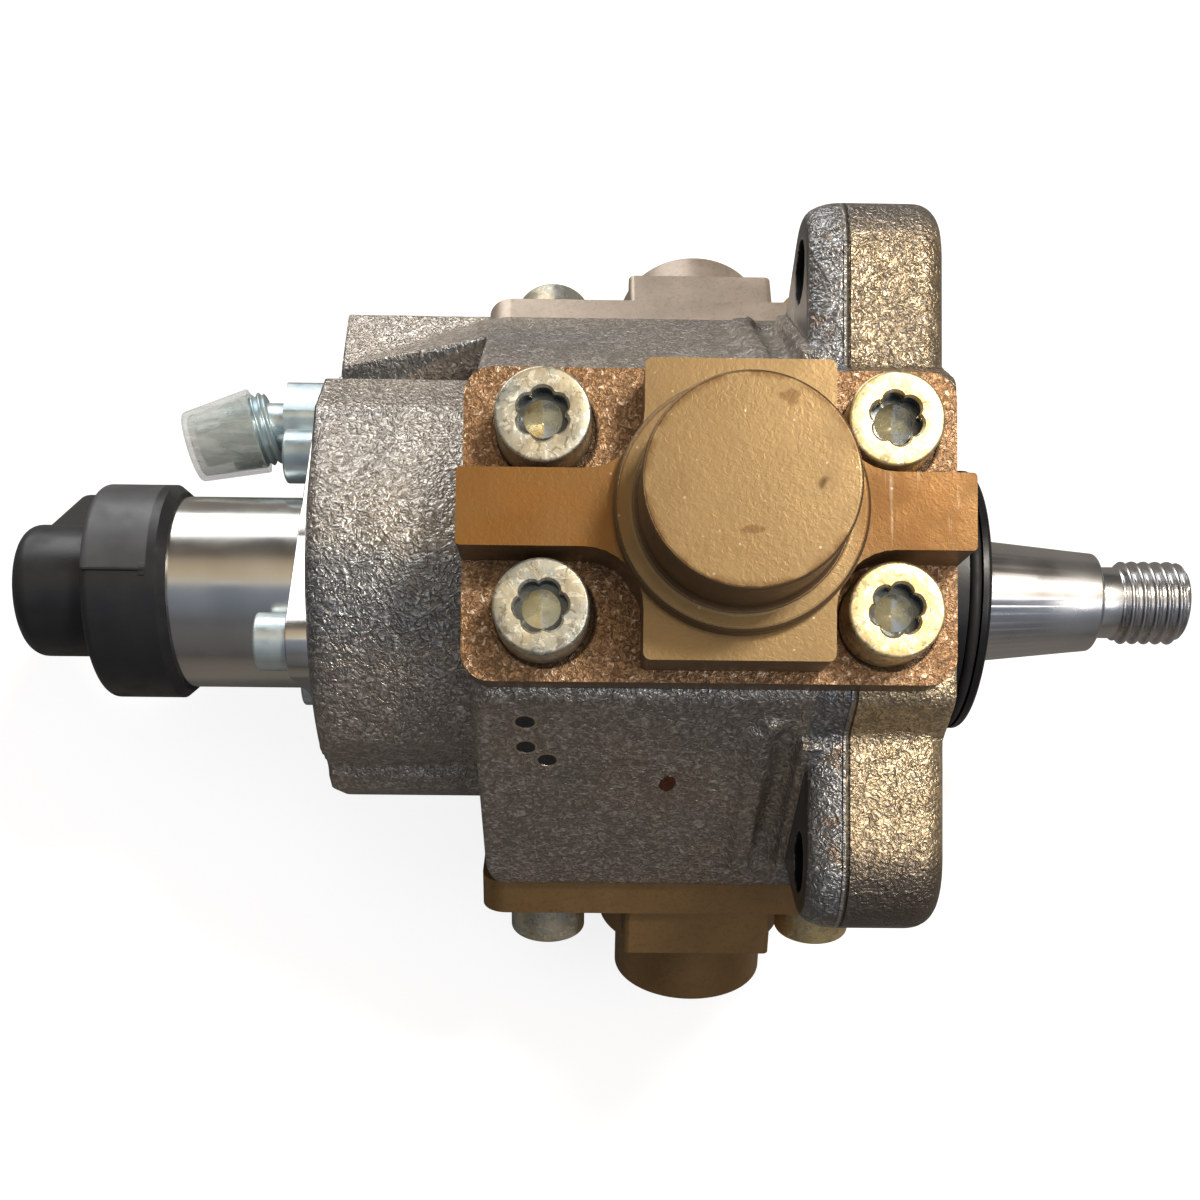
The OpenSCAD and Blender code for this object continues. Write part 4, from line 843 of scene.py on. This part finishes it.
def threads():
    """Drive end, outlet and inlet stub, each with its thread along the x of its own frame."""
    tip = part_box("drive_shaft")[1].x
    threaded("drive_shaft", "threaded_shaft", SHAFT, "shaft", Matrix(), tip - 11.6 * MM, tip,
             crest=7 * MM, pitch=2 * MM, lead0=1.2 * MM, lead1=1.0 * MM, join=0.2 * MM)
    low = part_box("outlet_fitting")[0].z
    down = Matrix.Translation((-56.5 * MM, 0, low)) @ Matrix.Rotation(math.radians(-90), 4, "Y")
    threaded("outlet_fitting", "outlet_union", FITTING, "housing", down, 0, 12.8 * MM,
             crest=7 * MM, pitch=1.5 * MM, lead0=0.8 * MM, lead1=0.6 * MM)
    stub = Matrix.Translation((-108.9 * MM, 32.2 * MM, -12 * MM)) @ Matrix.Rotation(math.radians(15), 4, "Z")
    threaded("inlet_fitting", "inlet_union", FITTING, "housing", stub, -8.0 * MM, 0.4 * MM,
             crest=6.35 * MM, pitch=1.3 * MM, lead0=5.0 * MM, lead1=0.4 * MM)


def cover():
    """The moulded cover with its mould line on both sides and a small gate mark at the end of each line."""
    bm = welded("metering_cover")
    # Radius of the collar in millimetres, and the end of the mould line
    r, line_end = 17.7, COLLAR_X + 10.4 * MM
    for side in (1, -1):
        line = [(y, side * (r + h)) for y, h in ((-0.45, -0.2), (0.45, -0.2), (0.15, 0.3), (-0.15, 0.3))]
        gate = [(y, side * (r + h)) for y, h in ((-1.3, -0.4), (1.3, -0.4), (0.9, 0.16), (-0.9, 0.16))]
        add_prism(bm, line, COLLAR_X + 0.9 * MM, line_end)
        add_prism(bm, gate, line_end - 0.7 * MM, line_end + 0.2 * MM)
    obj = new_object("moulded_cover")
    into(obj, bm)
    bevelled(obj, 0.4 * MM)
    settled(obj, COVER, "housing", "metering_cover")


def edged(node, name, surface, width):
    """A copy of a CAD node with small rounded edges."""
    obj = new_object(name)
    into(obj, welded(node))
    bevelled(obj, width)
    settled(obj, surface, "housing", node)


def wound_springs():
    """A smooth copy of each coil spring that a joint lists as deforming, with a mesh of its own."""
    for joint in frame["joints"]:
        for row in joint.get("deforming_nodes") or []:
            obj = new_object("wound_" + row["node"])
            into(obj, welded(row["node"]))
            smooth(obj, 50)
            settled(obj, INNER, "housing", row["node"])
            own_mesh(obj)


for k, surface in HEADS.items():
    edged("cylinder_head_" + k, "head_forging_" + k, surface, 0.45 * MM)
    lobed_bolts(k)
threads()
wound_springs()
edged("metering_body", "turned_can", CAN, 0.25 * MM)
edged("metering_screws", "flange_screws", FITTING, 0.2 * MM)
cover()
edged("overflow_plug", "plug_hex", FITTING, 0.3 * MM)
housing()


# Floor, light and camera

def stage():
    """A floor just under the object: pale to the camera, a dim studio floor to reflections."""
    half, z = 6.0, cad_box[0].z - 1.5 * MM
    mesh = bpy.data.meshes.new("floor")
    corners = [(-half, -half, z), (half, -half, z), (half, half, z), (-half, half, z)]
    mesh.from_pydata(corners, [], [(0, 1, 2, 3)])
    floor = new_object("floor", mesh)
    mat = bpy.data.materials.new("floor")
    mat.use_nodes = True
    t = mat.node_tree
    bsdf = t.nodes["Principled BSDF"]
    bsdf.inputs["Roughness"].default_value = 0.9
    bsdf.inputs["Specular IOR Level"].default_value = 0.1
    bsdf.inputs["Emission Color"].default_value = (1, 1, 1, 1)
    path = t.nodes.new("ShaderNodeLightPath")
    tone = t.nodes.new("ShaderNodeMix")
    tone.data_type = "RGBA"
    tone.inputs[COLOR_A].default_value = (0.22, 0.21, 0.2, 1)
    tone.inputs[COLOR_B].default_value = (0.4, 0.4, 0.4, 1)
    t.links.new(path.outputs["Is Camera Ray"], tone.inputs["Factor"])
    t.links.new(tone.outputs[COLOR_OUT], bsdf.inputs["Base Color"])
    glow = t.nodes.new("ShaderNodeMath")
    glow.operation = "MULTIPLY"
    glow.inputs[1].default_value = 0.8
    t.links.new(path.outputs["Is Camera Ray"], glow.inputs[0])
    t.links.new(glow.outputs[0], bsdf.inputs["Emission Strength"])
    mesh.materials.append(mat)


def studio_sky():
    """Soft surroundings, white to the camera: dim low down, with cool and warm panels round the shaft."""
    world = bpy.data.worlds.new("studio")
    world.use_nodes = True
    t = world.node_tree
    sep = t.nodes.new("ShaderNodeSeparateXYZ")
    t.links.new(t.nodes.new("ShaderNodeTexCoord").outputs["Generated"], sep.inputs["Vector"])

    def ramp(axis, stops):
        """A grey level or a colour along one axis; stops hold the direction's component from -1 to 1."""
        n = t.nodes.new("ShaderNodeValToRGB")
        half = t.nodes.new("ShaderNodeMath")
        half.operation = "MULTIPLY_ADD"
        half.inputs[1].default_value = 0.5
        half.inputs[2].default_value = 0.5
        t.links.new(sep.outputs[axis], half.inputs[0])
        t.links.new(half.outputs[0], n.inputs["Fac"])
        elements = n.color_ramp.elements
        while len(elements) < len(stops):
            elements.new(0.5)
        for e, (place, color) in zip(elements, stops):
            e.position, e.color = place / 2 + 0.5, (*color, 1)
        return n.outputs["Color"]

    def greys(*stops):
        return [(place, (level, level, level)) for place, level in stops]

    def product(a, b):
        """Two colours multiplied."""
        n = t.nodes.new("ShaderNodeMix")
        n.data_type = "RGBA"
        n.blend_type = "MULTIPLY"
        n.inputs["Factor"].default_value = 1.0
        t.links.new(a, n.inputs[COLOR_A])
        t.links.new(b, n.inputs[COLOR_B])
        return n.outputs[COLOR_OUT]

    across = ramp("Y", [(-1, (0.34, 0.34, 0.35)), (-0.7, (0.2, 0.2, 0.21)), (-0.45, (0.24, 0.27, 0.33)),
                        (-0.04, (0.3, 0.34, 0.42)), (-0.02, (0.9, 0.95, 1.0)), (0.02, (0.95, 0.95, 0.9)),
                        (0.04, (0.85, 0.72, 0.52)), (0.42, (0.62, 0.5, 0.37)), (0.55, (0.2, 0.17, 0.14)),
                        (0.8, (0.12, 0.11, 0.1)), (1.0, (0.16, 0.16, 0.16))])
    along = ramp("X", greys((-1, 0.5), (-0.3, 0.75), (0.35, 1.6), (0.8, 1.2)))
    height = ramp("Z", greys((-1, 0.2), (-0.1, 0.3), (0.3, 0.5), (0.75, 0.85), (1, 1)))
    back = t.nodes["Background"]
    t.links.new(product(product(across, along), height), back.inputs["Color"])
    path = t.nodes.new("ShaderNodeLightPath")
    white = t.nodes.new("ShaderNodeBackground")
    white.inputs["Color"].default_value = (1, 1, 1, 1)
    mix = t.nodes.new("ShaderNodeMixShader")
    t.links.new(path.outputs["Is Camera Ray"], mix.inputs["Fac"])
    t.links.new(back.outputs[0], mix.inputs[1])
    t.links.new(white.outputs[0], mix.inputs[2])
    t.links.new(mix.outputs[0], t.nodes["World Output"].inputs["Surface"])
    return world


def lamp(name, direction, distance, size, strength, color=(1, 1, 1)):
    """A square area lamp aimed at the object, with its power worked out from the light that should arrive."""
    middle = Vector((-0.05, 0, 0.01))
    data = bpy.data.lights.new(name, "AREA")
    data.shape = "SQUARE"
    data.size = size
    data.energy = strength * math.pi ** 2 * distance ** 2
    data.color = color
    obj = bpy.data.objects.new(name, data)
    scene.collection.objects.link(obj)
    way = Vector(direction).normalized()
    obj.location = middle + way * distance
    obj.visible_camera = False
    obj.rotation_mode = "QUATERNION"
    obj.rotation_quaternion = (-way).to_track_quat("-Z", "Y")


def camera():
    """Found by fitting measured points of the photograph. The rotation's rows are right, up and back."""
    focal_px, frame_px = 1512.55, 1200.0
    turn = Vector((-0.0421, 0.015798, -0.008534))
    rotation = Matrix.Rotation(turn.length, 3, turn.normalized()).transposed()
    data = bpy.data.cameras.new("camera")
    data.sensor_width = 36.0
    data.lens = focal_px * data.sensor_width / frame_px
    data.shift_y = 0.2
    data.clip_start = 0.01
    data.clip_end = 20.0
    cam = bpy.data.objects.new("camera", data)
    scene.collection.objects.link(cam)
    cam.matrix_world = Matrix.Translation(Vector((-54.13, -52.078, 255.031)) * MM) @ rotation.to_4x4()
    scene.camera = cam


stage()
scene.world = studio_sky()
lamp("key", (0.46, 0.42, 1.0), 0.8, 0.14, 0.58, (1, 0.95, 0.87))
lamp("window", (-0.45, 1.0, 0.14), 0.75, 0.6, 0.7, (0.97, 0.98, 1))
lamp("fill", (0.6, -0.25, 1.0), 0.9, 0.25, 0.12, (1, 0.95, 0.88))
camera()
